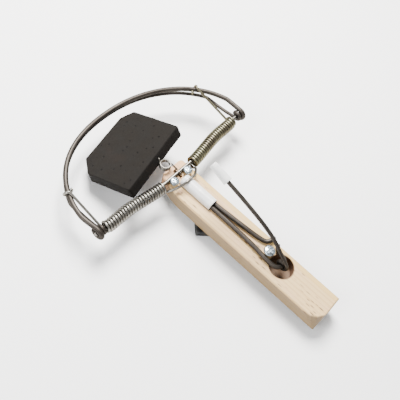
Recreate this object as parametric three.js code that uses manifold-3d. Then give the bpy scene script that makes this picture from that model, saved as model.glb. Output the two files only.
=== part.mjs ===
// Half-moon snap trap: a wooden handle, a fixed jaw bow and a sprung striker bow on one crossbar,
// a latch rod held by an anchor wire, and a foam trigger pad hung from the crossbar.
// Millimetres, +Z up, +Y from the handle towards the jaws, X along the crossbar.
// The design frame has its origin on the handle's top face, below the striker's hinge axis.
import * as THREE from "three";
import { mergeVertices } from "three/addons/utils/BufferGeometryUtils.js";
import Module from "manifold-3d";

const wasm = await Module();
wasm.setup();

const GAP = 0.3; // clearance between pieces that rest on each other
const RUNNING_GAP = 0.5; // clearance of a wire eye around the rod it turns on
const RAD = Math.PI / 180;

// Handle
const HANDLE_WIDTH = 34;
const HANDLE_THICKNESS = 17;
const HANDLE_REAR = 191; // from the hinge axis to the rear end
const HANDLE_FRONT = 4; // from the hinge axis to the front end
const HANDLE_BEVEL = 1.3;
const HEAD_TAPER = 5.5; // how far the left side runs in at the head
const HEAD_TAPER_LENGTH = 30;
const HEAD_ROUND_LENGTH = 3; // the head's two front corners, along Y and along X
const HEAD_ROUND_WIDTH = 6;
const HEAD_CUT_WIDTH = 4;
const END_ROUND = 17.7; // radius, in plan, of the slanted cut on the rear left corner
const END_ROUND_STEPS = 4;

// Crossbar
const CROSSBAR_RADIUS = 1.8;
const CROSSBAR_HALF_LENGTH = 102.3;
const CROSSBAR_STEP = 8; // longest straight stretch of its bent shape
const CROSSBAR_OFFSET = 5.4; // how far its middle lies behind the hinge axis
const JOURNAL_START = 68; // outside this it runs straight on the hinge axis
const CLAMPED_HALF = 16; // inside this it lies straight on the handle

// Jaw bows
const STRIKER_RADIUS = 2.4;
const FIXED_RADIUS = 1.8;
const STRIKER_EYE_GAP = 0.9; // the striker's eyes are looser than the fixed bow's
const BOW_HALF_WIDTH = 101.6;
const BOW_DEPTH = 85.2;
const BOW_POWER = 2.15; // exponent of the super-ellipse outline
const BOW_ANGLES = 26; // steps along one half of the outline
const STRIKER_END_ANGLE = 11; // degrees at which each outline hands over to the lead-in of an eye
const FIXED_END_ANGLE = 24;
const BOW_SHIFT = 2.8; // the crossbar and the bows' ends sit a little to the right
const BOW_LEAN = 8.5; // how far the front of the bows leans back to the left
const BOW_LEAN_POWER = 1.5; // how late the lean sets in
const STRIKER_EYE_X = 99;
const FIXED_EYE_X = 94.4;
const STRIKER_DROP = 3.6; // how far the striker comes down between its eyes and its front
const FIXED_RISE = 1; // how far the fixed bow comes up
const STRIKER_CLEAR = 6; // distance from the hinge axis at which each bow starts to spread
const FIXED_CLEAR = 10.5;
const EYE_ARC = 262; // degrees of wire in an eye
const EYE_STEPS = 18;

// Spring
const SPRING_WIRE = 1.15; // wire radius
const COIL_RADIUS = 5.05;
const COIL_TURNS = 23;
const COIL_STEPS = 10; // per turn
const COIL_START = 20.5;
const COIL_END = 85.6;
const COIL_BACK = 1.4; // the loose coils lie back and down on the crossbar
const COIL_SAG = 0.7;
const LOOP_DEPTH = 19.8; // the middle loop's reach behind the hinge axis
const LOOP_APEX_X = -2.5;
const RING_ARC = 320; // degrees of the last turn, which carries the arm
const HOOK_LEFT_Y = 42; // where each arm hooks over the striker
const HOOK_RIGHT_Y = 47.5;
const HOOK_PITCH = 4; // the hook's advance along the bow
const HOOK_FROM = 100; // degrees round the striker, from its outer side over its top
const HOOK_ARC = 300;

// Screws
const FRONT_SCREW = { shank: 1.7, head: 4.4, height: 2.6, length: 13 };
const REAR_SCREW = { shank: 2.1, head: 5.4, height: 2.8, length: 13 };
const FRONT_SCREW_X = 9.3;
const REAR_SCREW_X = 1.9;
const REAR_SCREW_Y = -117;
const SCREW_POINT = 3; // length of the tapered tip
const SCREW_SPACING = 1.5; // between the crossbar and the front screws' shanks
const RECESS_WIDTH = 1.1;
const RECESS_DEPTH = 1.3;

// Anchor wire and its sleeve
const ANCHOR_RADIUS = 2.2;
const STRAND_HALF = 2.5; // half the distance between its strands in the sleeve
const SLEEVE_RADIUS = 6;
const SLEEVE_FRONT = -14;
const SLEEVE_LENGTH = 37;
// Points of its strands from the rear screw forward (x, distance in front of the screw, rise), and
// of its rear tip from the bend's centre
const RIGHT_STRAND = [
  [17.2, 5.5, 2.4],
  [12.5, 5.6, 1.2],
  [8.4, 8.8, 0],
  [6.4, 18, 0],
  [4.2, 40, 0],
];
const LEFT_STRAND = [
  [-2.7, 40],
  [-3.4, 14],
  [-4.9, 0],
];
const ANCHOR_TIP = [
  [9.6, 4.5, 0.6],
  [13.6, 9, 2.4],
];
const ANCHOR_BEND_X = 1.7;
const ANCHOR_BEND_RADIUS = 7;

// Hole in the handle and the latch that hooks into it
const HOLE_RADIUS = 12;
const HOLE_DEPTH = 11;
const HOLE_X = 1.2;
const LATCH_Y = -134;
const LATCH_X = 1.5;
const LATCH_RADIUS = 1.9;
const LATCH_LEAVE = 137; // degrees round its eye at which the rod leaves it
const LATCH_EYE_ARC = 325;
// Points of the rod from its eye's centre: distance forward, height
const LATCH_RISE = [
  [9, 14],
  [16.5, 20.5],
  [26, 26.5],
  [39, 32],
  [61, 38.8],
  [81, 44],
];
const CAP_LENGTH = 20;
const CAP_REAR_RADIUS = 4.4;
const CAP_FRONT_RADIUS = 3.4;
const CAP_COVERS = 12; // length of rod inside the cap

// Trigger
const PAD_WIDTH = 84;
const PAD_DEPTH = 60;
const PAD_THICKNESS = 12;
const PAD_BEVEL = 0.6;
const PAD_CORNERS = { frontRight: [13, 8], frontLeft: [14, 13], rearRight: [1, 1], rearLeft: [1, 1] };
const PAD_REAR = [-9.5, 17.4, 13.6]; // middle of the pad's rear top edge
const PAD_PITCH = -22;
const PAD_ROLL = -4;
const PAD_YAW = 9.8;
const TRIGGER_WIRE = 0.8;
const TRIGGER_EYE_RADIUS = 3.7;
const TRIGGER_EYE_X = 1.6;
const SLOT_CLEARANCE = 0.6; // of the slot in the handle around the wire's eye
const RING_RADIUS = 4.9;
const RING_CENTRE = [-3.1, 7.4, 5];
const RING_TURNS = 2.5;
const RING_RISE = 2; // per turn
const TAIL_X = 4; // where the wire enters the pad, from the middle of its rear edge

// Foot
const FOOT_SIDE = 28.6;
const FOOT_HEIGHT = 8;
const FOOT_BEVEL = 0.8;
const FOOT_X = -1.4;
const FOOT_Y = -55.4;
const FOOT_TURN = 45; // degrees about its screw

// Worked out from the sizes above
const HINGE_Z = GAP + CROSSBAR_RADIUS;
const CLAMP_Y = -CROSSBAR_OFFSET;
const STRIKER_EYE_RADIUS = CROSSBAR_RADIUS + STRIKER_EYE_GAP + STRIKER_RADIUS;
const FIXED_EYE_RADIUS = CROSSBAR_RADIUS + RUNNING_GAP + FIXED_RADIUS;
const STRIKER_Z = HINGE_Z + STRIKER_EYE_RADIUS;
const FRONT_SCREW_Y = CLAMP_Y - CROSSBAR_RADIUS - FRONT_SCREW.shank - SCREW_SPACING;
const ANCHOR_Z = GAP + ANCHOR_RADIUS;
const SLEEVE_BORE = STRAND_HALF + ANCHOR_RADIUS + GAP;
const SLEEVE_REAR = SLEEVE_FRONT - SLEEVE_LENGTH;
const LATCH_EYE_RADIUS = ANCHOR_RADIUS + RUNNING_GAP + LATCH_RADIUS;
const FOOT_BOTTOM = -HANDLE_THICKNESS - GAP - FOOT_HEIGHT;

const v = (x, y, z) => new THREE.Vector3(x, y, z);

// A path that is straight between its points, so that bends get close points and straights few.
class Polyline extends THREE.Curve {
  constructor(points) {
    super();
    this.points = points;
  }
  getPoint(t, target = new THREE.Vector3()) {
    const place = t * (this.points.length - 1);
    const i = Math.min(Math.floor(place + 1e-9), this.points.length - 2);
    return target.lerpVectors(this.points[i], this.points[i + 1], place - i);
  }
  getPointAt(t, target) {
    return this.getPoint(t, target);
  }
  getTangentAt(t, target = new THREE.Vector3()) {
    const last = this.points.length - 1;
    const i = Math.round(t * last);
    const before = this.points[i].clone().sub(this.points[Math.max(i - 1, 0)]).normalize();
    const after = this.points[Math.min(i + 1, last)].clone().sub(this.points[i]).normalize();
    return target.copy(before.add(after)).normalize();
  }
}

function disc(radius, sides) {
  const points = Array.from({ length: sides }, (_, i) => {
    const angle = (2 * Math.PI * (i + 0.5)) / sides;
    return new THREE.Vector2(radius * Math.cos(angle), radius * Math.sin(angle));
  });
  return new THREE.Shape(points);
}

function wire(points, radius, sides = 8) {
  return new THREE.ExtrudeGeometry(disc(radius, sides), {
    steps: points.length - 1,
    extrudePath: new Polyline(points),
  });
}

// Points along a smooth curve through the ones given.
function smooth(points, steps) {
  return new THREE.CatmullRomCurve3(points, false, "centripetal").getPoints(steps);
}

// Points of an arc in the Y-Z plane at one x; angles in degrees from +Y towards +Z.
function arcYZ(x, y, z, radius, from, to, steps) {
  return Array.from({ length: steps + 1 }, (_, i) => {
    const a = (from + ((to - from) * i) / steps) * RAD;
    return v(x, y + radius * Math.cos(a), z + radius * Math.sin(a));
  });
}

// Points of an arc in a level plane; angles in degrees from +X towards +Y.
function arcXY(x, y, z, radius, from, to, steps) {
  return Array.from({ length: steps + 1 }, (_, i) => {
    const a = (from + ((to - from) * i) / steps) * RAD;
    return v(x + radius * Math.cos(a), y + radius * Math.sin(a), z);
  });
}

function solid(geometry) {
  const bare = geometry.clone();
  bare.deleteAttribute("normal");
  bare.deleteAttribute("uv");
  const merged = mergeVertices(bare, 1e-4);
  return new wasm.Manifold(
    new wasm.Mesh({
      numProp: 3,
      vertProperties: merged.getAttribute("position").array,
      triVerts: new Uint32Array(merged.index.array),
    }),
  );
}

function cut(geometry, tools) {
  const left = tools.reduce((body, tool) => body.subtract(solid(tool)), solid(geometry));
  const mesh = left.getMesh();
  const result = new THREE.BufferGeometry();
  result.setAttribute("position", new THREE.Float32BufferAttribute(mesh.vertProperties, 3));
  result.setIndex(Array.from(mesh.triVerts));
  result.computeVertexNormals();
  return result;
}

function box(x0, x1, y0, y1, z0, z1) {
  const geometry = new THREE.BoxGeometry(x1 - x0, y1 - y0, z1 - z0);
  return geometry.translate((x0 + x1) / 2, (y0 + y1) / 2, (z0 + z1) / 2);
}

function uprightCylinder(x, y, z0, z1, radius, sides) {
  const geometry = new THREE.CylinderGeometry(radius, radius, z1 - z0, sides);
  return geometry.rotateX(Math.PI / 2).translate(x, y, (z0 + z1) / 2);
}

// How far the crossbar lies from the hinge axis at x: straight in the middle and at both ends.
function crossbarY(x) {
  const u = THREE.MathUtils.clamp(
    (JOURNAL_START - Math.abs(x)) / (JOURNAL_START - CLAMPED_HALF),
    0,
    1,
  );
  return CLAMP_Y * u * u * (3 - 2 * u);
}

// A solid with a flat bottom at z = 0 and bevelled top and bottom rims.
function slab(shape, thickness, bevel) {
  const geometry = new THREE.ExtrudeGeometry(shape, {
    depth: thickness - 2 * bevel,
    bevelThickness: bevel,
    bevelSize: bevel,
    bevelOffset: -bevel,
    bevelSegments: 1,
  });
  return geometry.translate(0, 0, bevel);
}

// Blocks that plane the rear left corner off: each lies on a plane through the bottom corner and
// one step of an arc on the top face.
function endCuts() {
  const corner = v(-HANDLE_WIDTH / 2, -HANDLE_REAR, -HANDLE_THICKNESS);
  const centre = corner.clone().addScalar(END_ROUND);
  const rim = arcXY(centre.x, centre.y, 0, END_ROUND, 180, 270, END_ROUND_STEPS);
  const reach = 2 * HANDLE_WIDTH;
  return rim.slice(1).map((point, i) => {
    const normal = point.clone().sub(corner).cross(rim[i].clone().sub(corner)).normalize();
    const turn = new THREE.Quaternion().setFromUnitVectors(v(0, 0, 1), normal);
    const block = box(-reach, reach, -reach, reach, 0, reach).applyQuaternion(turn);
    return block.translate(corner.x, corner.y, corner.z);
  });
}

function handleGeometry() {
  const half = HANDLE_WIDTH / 2;
  const outline = new THREE.Shape();
  const taperFront = HANDLE_FRONT - HEAD_ROUND_LENGTH;
  outline.moveTo(half, taperFront);
  outline.quadraticCurveTo(half, HANDLE_FRONT, half - HEAD_ROUND_WIDTH, HANDLE_FRONT);
  outline.lineTo(-half + HEAD_TAPER + HEAD_CUT_WIDTH, HANDLE_FRONT);
  outline.lineTo(-half + HEAD_TAPER, taperFront);
  outline.quadraticCurveTo(-half, -HEAD_TAPER_LENGTH * 0.6, -half, -HEAD_TAPER_LENGTH);
  outline.lineTo(-half, -HANDLE_REAR);
  outline.lineTo(half, -HANDLE_REAR);
  outline.closePath();
  const wood = slab(outline, HANDLE_THICKNESS, HANDLE_BEVEL).translate(0, 0, -HANDLE_THICKNESS);

  const hole = uprightCylinder(HOLE_X, LATCH_Y, -HOLE_DEPTH, 1, HOLE_RADIUS, 32);
  const groove = wire(
    [v(0, SLEEVE_FRONT + GAP, ANCHOR_Z), v(0, SLEEVE_REAR - GAP, ANCHOR_Z)],
    SLEEVE_RADIUS + GAP,
    24,
  );
  const slotHalf = TRIGGER_WIRE + SLOT_CLEARANCE;
  const slotReach = TRIGGER_EYE_RADIUS + TRIGGER_WIRE + SLOT_CLEARANCE;
  const slot = box(
    TRIGGER_EYE_X - slotHalf,
    TRIGGER_EYE_X + slotHalf,
    CLAMP_Y - slotReach,
    CLAMP_Y + slotReach,
    HINGE_Z - slotReach,
    1,
  );
  const screwHoles = screws().map(({ size, x, y, seat }) =>
    uprightCylinder(x, y, seat - size.length - 1, 1, size.shank + GAP, 16),
  );
  return cut(wood, [hole, groove, slot, ...endCuts(), ...screwHoles]);
}

function crossbarGeometry() {
  const count = Math.round(CROSSBAR_HALF_LENGTH / CROSSBAR_STEP);
  const points = [];
  for (let i = -count; i <= count; i += 1) {
    const x = BOW_SHIFT + (CROSSBAR_HALF_LENGTH * i) / count;
    points.push(v(x, crossbarY(x), HINGE_Z));
  }
  return wire(points, CROSSBAR_RADIUS);
}

// How far along X the bows' outline is moved at y.
function bowShift(y) {
  return BOW_SHIFT - BOW_LEAN * (y / BOW_DEPTH) ** BOW_LEAN_POWER;
}

// Points along a bow, from its left eye to its right eye. side is 1 for wire that leaves the
// eyes at the top and comes down by bend towards the front, and -1 for the other way round.
function bowPoints({ side, eyeX, eyeRadius, endAngle, bend, clearOfEye }) {
  const height = (y) => HINGE_Z + side * (eyeRadius - bend * (y / BOW_DEPTH) ** 2);
  const from = Math.PI - endAngle * RAD;
  const step = (Math.PI - 2 * endAngle * RAD) / (2 * BOW_ANGLES);
  const outline = [];
  for (let i = 0; i <= 2 * BOW_ANGLES; i += 1) {
    const c = Math.cos(from - step * i);
    const y = BOW_DEPTH * Math.sin(from - step * i) ** (2 / BOW_POWER);
    const x = BOW_HALF_WIDTH * Math.sign(c) * Math.abs(c) ** (2 / BOW_POWER);
    outline.push(v(x + bowShift(y), y, height(y)));
  }
  const leadIn = (end, eye) => {
    const halfWay = (clearOfEye + end.y) / 2;
    return [
      v(eye, clearOfEye * 0.5, height(clearOfEye * 0.5)),
      v(eye + (end.x - eye) * 0.35, clearOfEye, height(clearOfEye)),
      v(eye + (end.x - eye) * 0.8, halfWay, height(halfWay)),
    ];
  };
  const eyeFrom = side * (90 + EYE_ARC);
  const turn = (x) => arcYZ(x, 0, HINGE_Z, eyeRadius, eyeFrom, side * 90, EYE_STEPS);
  const [leftX, rightX] = [BOW_SHIFT - eyeX, BOW_SHIFT + eyeX];
  const left = leadIn(outline[0], leftX);
  const right = leadIn(outline[outline.length - 1], rightX).reverse();
  return [...turn(leftX), ...left, ...outline, ...right, ...turn(rightX).reverse()];
}

function strikerGeometry() {
  const points = bowPoints({
    side: 1,
    eyeX: STRIKER_EYE_X,
    eyeRadius: STRIKER_EYE_RADIUS,
    endAngle: STRIKER_END_ANGLE,
    bend: STRIKER_DROP,
    clearOfEye: STRIKER_CLEAR,
  });
  return wire(points, STRIKER_RADIUS);
}

function fixedBowGeometry() {
  const points = bowPoints({
    side: -1,
    eyeX: FIXED_EYE_X,
    eyeRadius: FIXED_EYE_RADIUS,
    endAngle: FIXED_END_ANGLE,
    bend: FIXED_RISE,
    clearOfEye: FIXED_CLEAR,
  });
  return wire(points, FIXED_RADIUS);
}

// side is -1 for the left spring and 1 for the right one, here and below.
function coilGeometry(side) {
  const points = [];
  const steps = COIL_TURNS * COIL_STEPS;
  for (let i = 0; i <= steps; i += 1) {
    const x = COIL_START + ((COIL_END - COIL_START) * i) / steps;
    const angle = -Math.PI / 2 + (2 * Math.PI * i) / COIL_STEPS;
    const y = crossbarY(x) - COIL_BACK + COIL_RADIUS * Math.cos(angle);
    points.push(v(side * x, y, HINGE_Z - COIL_SAG + COIL_RADIUS * Math.sin(angle)));
  }
  return wire(points, SPRING_WIRE, 6);
}

// The loop that joins the two coils behind the screws and presses down over the sleeve.
function centreLoopGeometry() {
  const bottom = HINGE_Z - COIL_SAG - COIL_RADIUS;
  const top = ANCHOR_Z + SLEEVE_RADIUS + GAP + SPRING_WIRE;
  const start = COIL_START - SPRING_WIRE;
  const half = [
    v(start, crossbarY(COIL_START) - COIL_BACK - GAP, bottom),
    v(start, CLAMP_Y - 5, bottom + 0.9),
    v(start - 1.6, CLAMP_Y - 8.2, GAP + 1.4),
    v(start - 6, LOOP_DEPTH * -0.83, GAP + 4.2),
    v(start - 13, LOOP_DEPTH * -0.97, top - 1.5),
  ];
  const mirrored = half.map((p) => v(-p.x, p.y, p.z)).reverse();
  return wire(smooth([...half, v(LOOP_APEX_X, -LOOP_DEPTH, top), ...mirrored], 30), SPRING_WIRE, 6);
}

// The striker's centre line at y, on the side given.
function strikerAt(side, y) {
  const x = BOW_HALF_WIDTH * (1 - (y / BOW_DEPTH) ** BOW_POWER) ** (1 / BOW_POWER);
  return v(side * x + bowShift(y), y, STRIKER_Z - STRIKER_DROP * (y / BOW_DEPTH) ** 2);
}

// A spring's outer end: a turn round the crossbar, a straight arm that leaves it at the bottom,
// and a hook over the striker.
function armGeometry(side) {
  const ringX = side * (COIL_END + 2 * SPRING_WIRE + RUNNING_GAP);
  const ring = arcYZ(ringX, 0, HINGE_Z, COIL_RADIUS, -90 - RING_ARC, -90, 14);
  const hookRadius = STRIKER_RADIUS + GAP + SPRING_WIRE;
  const hookY = side < 0 ? HOOK_LEFT_Y : HOOK_RIGHT_Y;
  const centre = strikerAt(side, hookY);
  const along = strikerAt(side, hookY + 1).sub(centre).normalize();
  const outward = v(side * along.y, -side * along.x, 0).normalize();
  const steps = 16;
  const hook = Array.from({ length: steps + 1 }, (_, i) => {
    const angle = (HOOK_FROM - (HOOK_ARC * i) / steps) * RAD;
    const point = centre.clone().addScaledVector(outward, hookRadius * Math.cos(angle));
    point.addScaledVector(along, HOOK_PITCH * (i / steps));
    return point.setZ(point.z + hookRadius * Math.sin(angle));
  });
  const start = v(ringX, 0, HINGE_Z - COIL_RADIUS);
  const arm = [0.12, 0.5, 0.9].map((t) => start.clone().lerp(hook[0], t));
  return wire([...ring, ...arm, ...hook], SPRING_WIRE, 6);
}

// Where each screw stands, and the height at which its head rests on the wire under it.
function screws() {
  const frontSeat = HINGE_Z + CROSSBAR_RADIUS + GAP;
  const rearSeat = ANCHOR_Z + ANCHOR_RADIUS + GAP;
  return [
    { name: "front_screw_left", size: FRONT_SCREW, x: -FRONT_SCREW_X, y: FRONT_SCREW_Y, seat: frontSeat },
    { name: "front_screw_right", size: FRONT_SCREW, x: FRONT_SCREW_X, y: FRONT_SCREW_Y, seat: frontSeat },
    { name: "rear_screw", size: REAR_SCREW, x: REAR_SCREW_X, y: REAR_SCREW_Y, seat: rearSeat },
  ];
}

// A pan-head wood screw with a cross recess, its head's underside at z = 0.
function screwGeometry({ shank, head, height, length }) {
  const profile = [
    [0, -length],
    [shank, -length + SCREW_POINT],
    [shank, 0],
    [head, 0],
    [head, height * 0.35],
    [head * 0.82, height * 0.8],
    [head * 0.45, height],
    [0, height],
  ].map(([r, z]) => new THREE.Vector2(r, z));
  const body = new THREE.LatheGeometry(profile, 18).rotateX(Math.PI / 2);
  const arm = head * 0.58;
  const w = RECESS_WIDTH / 2;
  const floor = height - RECESS_DEPTH;
  const recess = [box(-arm, arm, -w, w, floor, height + 1), box(-w, w, -arm, arm, floor, height + 1)];
  return cut(body, recess);
}

// One wire: right-hand tip, forward into the sleeve, round, and back to the bend in the hole.
function anchorGeometry() {
  const bendY = SLEEVE_FRONT - STRAND_HALF - ANCHOR_RADIUS - 1;
  const right = smooth(
    [
      ...RIGHT_STRAND.map(([x, y, rise]) => v(x, REAR_SCREW_Y + y, ANCHOR_Z + rise)),
      v(STRAND_HALF, SLEEVE_REAR - 3, ANCHOR_Z),
    ],
    16,
  );
  const front = arcXY(0, bendY, ANCHOR_Z, STRAND_HALF, 0, 180, 8);
  const left = smooth(
    [
      v(-STRAND_HALF, SLEEVE_REAR - 3, ANCHOR_Z),
      ...LEFT_STRAND.map(([x, y]) => v(x, REAR_SCREW_Y + y, ANCHOR_Z)),
      v(ANCHOR_BEND_X - ANCHOR_BEND_RADIUS, LATCH_Y + ANCHOR_BEND_RADIUS + 2, ANCHOR_Z),
    ],
    12,
  );
  const centreY = LATCH_Y + ANCHOR_BEND_RADIUS;
  const rear = arcXY(ANCHOR_BEND_X, centreY, ANCHOR_Z, ANCHOR_BEND_RADIUS, 180, 360, 14);
  const tipPoints = ANCHOR_TIP.map(([x, y, rise]) => v(x, centreY + y, ANCHOR_Z + rise));
  const tip = smooth([rear[rear.length - 1], ...tipPoints], 6);
  return wire([...right, ...front, ...left, ...rear, ...tip.slice(1)], ANCHOR_RADIUS);
}

function sleeveGeometry() {
  const length = SLEEVE_LENGTH;
  const chamfer = 0.5;
  const profile = [
    [SLEEVE_BORE, 0],
    [SLEEVE_RADIUS - chamfer, 0],
    [SLEEVE_RADIUS, chamfer],
    [SLEEVE_RADIUS, length - chamfer],
    [SLEEVE_RADIUS - chamfer, length],
    [SLEEVE_BORE, length],
    [SLEEVE_BORE, 0],
  ].map(([r, y]) => new THREE.Vector2(r, y));
  return new THREE.LatheGeometry(profile, 24).translate(0, SLEEVE_REAR, ANCHOR_Z);
}

// The latch rod's centre line in the plane of its eye, from the eye's rear side to the tip.
function latchCurve() {
  const from = LATCH_LEAVE + LATCH_EYE_ARC;
  const eye = arcYZ(LATCH_X, LATCH_Y, ANCHOR_Z, LATCH_EYE_RADIUS, from, LATCH_LEAVE, 16);
  const rod = smooth(
    [
      eye[eye.length - 1],
      ...LATCH_RISE.map(([y, z]) => v(LATCH_X, LATCH_Y + y, ANCHOR_Z + z)),
    ],
    18,
  );
  return { eye, rod };
}

function latchTip() {
  const { rod } = latchCurve();
  const end = rod[rod.length - 1];
  const direction = end.clone().sub(rod[rod.length - 2]).normalize();
  return { end, direction };
}

function latchRodGeometry() {
  const { eye, rod } = latchCurve();
  const { end, direction } = latchTip();
  const tip = end.clone().addScaledVector(direction, CAP_COVERS);
  return wire([...eye, ...rod.slice(1), tip], LATCH_RADIUS);
}

// The tapered cap pushed over the rod's end, with a blind bore.
function capGeometry() {
  const bore = LATCH_RADIUS + GAP;
  const profile = [
    [0, CAP_COVERS + GAP],
    [bore, CAP_COVERS + GAP],
    [bore, 0],
    [CAP_REAR_RADIUS - 0.6, 0],
    [CAP_REAR_RADIUS, 0.6],
    [CAP_FRONT_RADIUS, CAP_LENGTH - 1],
    [CAP_FRONT_RADIUS - 0.9, CAP_LENGTH],
    [0, CAP_LENGTH],
  ].map(([r, y]) => new THREE.Vector2(r, y));
  return new THREE.LatheGeometry(profile, 20);
}

function padFrame() {
  const turn = new THREE.Euler(PAD_PITCH * RAD, PAD_ROLL * RAD, PAD_YAW * RAD, "ZXY");
  const matrix = new THREE.Matrix4().makeRotationFromEuler(turn);
  return matrix.setPosition(...PAD_REAR);
}

// The pad's outline, with its rear edge on local y = 0 and its top on local z = 0.
function padGeometry(wireHole) {
  const half = PAD_WIDTH / 2;
  const { frontRight, frontLeft, rearRight, rearLeft } = PAD_CORNERS;
  const outline = new THREE.Shape([
    new THREE.Vector2(half - rearRight[0], 0),
    new THREE.Vector2(half, rearRight[1]),
    new THREE.Vector2(half, PAD_DEPTH - frontRight[1]),
    new THREE.Vector2(half - frontRight[0], PAD_DEPTH),
    new THREE.Vector2(-half + frontLeft[0], PAD_DEPTH),
    new THREE.Vector2(-half, PAD_DEPTH - frontLeft[1]),
    new THREE.Vector2(-half, rearLeft[1]),
    new THREE.Vector2(-half + rearLeft[0], 0),
  ]);
  const foam = slab(outline, PAD_THICKNESS, PAD_BEVEL).translate(0, 0, -PAD_THICKNESS);
  return cut(foam.applyMatrix4(padFrame()), [wireHole]);
}

// Thin wire: an eye round the crossbar, a small coil in front of it, and a tail into the pad.
function triggerPoints() {
  const eye = arcYZ(TRIGGER_EYE_X, CLAMP_Y, HINGE_Z, TRIGGER_EYE_RADIUS, 60 - 300, 60, 14);
  const [cx, cy, cz] = RING_CENTRE;
  const steps = Math.round(RING_TURNS * 12);
  const ring = [];
  const first = 320;
  for (let i = 0; i <= steps; i += 1) {
    const a = (first - (RING_TURNS * 360 * i) / steps) * RAD;
    const z = cz + RING_RISE * RING_TURNS * (0.5 - i / steps);
    ring.push(v(cx + RING_RADIUS * Math.cos(a), cy + RING_RADIUS * Math.sin(a), z));
  }
  const frame = padFrame();
  const inPad = (y) => v(TAIL_X, y, -PAD_THICKNESS * 0.55).applyMatrix4(frame);
  return { eye, ring, tail: [inPad(-1.5), inPad(12)] };
}

function triggerWireGeometry() {
  const { eye, ring, tail } = triggerPoints();
  return wire([...eye, ...ring, ...tail], TRIGGER_WIRE, 6);
}

function padHole() {
  const { tail } = triggerPoints();
  const along = tail[1].clone().sub(tail[0]).normalize();
  const end = tail[1].clone().addScaledVector(along, GAP);
  return wire([tail[0], end], TRIGGER_WIRE + GAP, 8);
}

// A square block, turned so that a corner shows on either side of the handle.
function footGeometry() {
  const half = FOOT_SIDE / 2;
  const outline = new THREE.Shape([
    new THREE.Vector2(-half, -half),
    new THREE.Vector2(half, -half),
    new THREE.Vector2(half, half),
    new THREE.Vector2(-half, half),
  ]);
  const block = slab(outline, FOOT_HEIGHT, FOOT_BEVEL).rotateZ(FOOT_TURN * RAD);
  return block.translate(FOOT_X, FOOT_Y, FOOT_BOTTOM);
}

const FINISHES = {
  wood: { color: 0xe3cdb2, roughness: 0.75, metalness: 0 },
  bright: { color: 0xb9b6ae, roughness: 0.3, metalness: 1 },
  olive: { color: 0x9a9678, roughness: 0.38, metalness: 1 },
  bronze: { color: 0x5a534c, roughness: 0.45, metalness: 1 },
  zinc: { color: 0xc6ccd0, roughness: 0.28, metalness: 1 },
  plastic: { color: 0xeeeeec, roughness: 0.45, metalness: 0 },
  foam: { color: 0x35302c, roughness: 0.95, metalness: 0 },
  rubber: { color: 0x15140f, roughness: 0.85, metalness: 0 },
};

function piece(name, geometry, finish) {
  const mesh = new THREE.Mesh(geometry, new THREE.MeshStandardMaterial(FINISHES[finish]));
  mesh.name = name;
  return mesh;
}

function capPiece() {
  const { end, direction } = latchTip();
  const mesh = piece("latch_cap", capGeometry(), "plastic");
  mesh.position.copy(end);
  mesh.quaternion.setFromUnitVectors(v(0, 1, 0), direction);
  return mesh;
}

function screwPieces() {
  return screws().map(({ name, size, x, y, seat }) => {
    const mesh = piece(name, screwGeometry(size), "zinc");
    mesh.position.set(x, y, seat);
    return mesh;
  });
}

const trap = new THREE.Group();
trap.add(
  piece("wooden_handle", handleGeometry(), "wood"),
  piece("crossbar_rod", crossbarGeometry(), "bright"),
  piece("fixed_jaw_bow", fixedBowGeometry(), "bronze"),
  piece("striker_bow", strikerGeometry(), "bronze"),
  piece("spring_coil_left", coilGeometry(-1), "bright"),
  piece("spring_coil_right", coilGeometry(1), "olive"),
  piece("spring_center_loop", centreLoopGeometry(), "bright"),
  piece("spring_arm_left", armGeometry(-1), "bright"),
  piece("spring_arm_right", armGeometry(1), "olive"),
  ...screwPieces(),
  piece("anchor_wire", anchorGeometry(), "bronze"),
  piece("anchor_sleeve", sleeveGeometry(), "plastic"),
  piece("latch_rod", latchRodGeometry(), "bronze"),
  capPiece(),
  piece("trigger_wire", triggerWireGeometry(), "bright"),
  piece("trigger_pad", padGeometry(padHole()), "foam"),
  piece("rubber_foot", footGeometry(), "rubber"),
);

// The part's own origin is at the middle of its box, on the surface that it stands on.
const bounds = new THREE.Box3().setFromObject(trap, true);
const middle = bounds.getCenter(new THREE.Vector3());
trap.position.set(-middle.x, -middle.y, -bounds.min.z);

const part = new THREE.Group();
part.add(trap);

export default part;
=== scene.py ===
"""A half-moon snap mouse trap: a sprung wire bow on a wooden handle, with a latch rod and a foam pad.

Each sub-assembly is a class that builds its own surfaces with numpy and dresses them. Lengths inside
the classes are millimetres in the trap's design space, whose origin is on the handle's top face below
the striker's hinge axis; Shop.place turns them into metres in the frame.
"""
import logging
import math
from dataclasses import dataclass
from enum import Enum
from typing import Callable, Iterable, Optional, Sequence

import bpy
import numpy as np
from mathutils import Matrix, Vector


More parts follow.
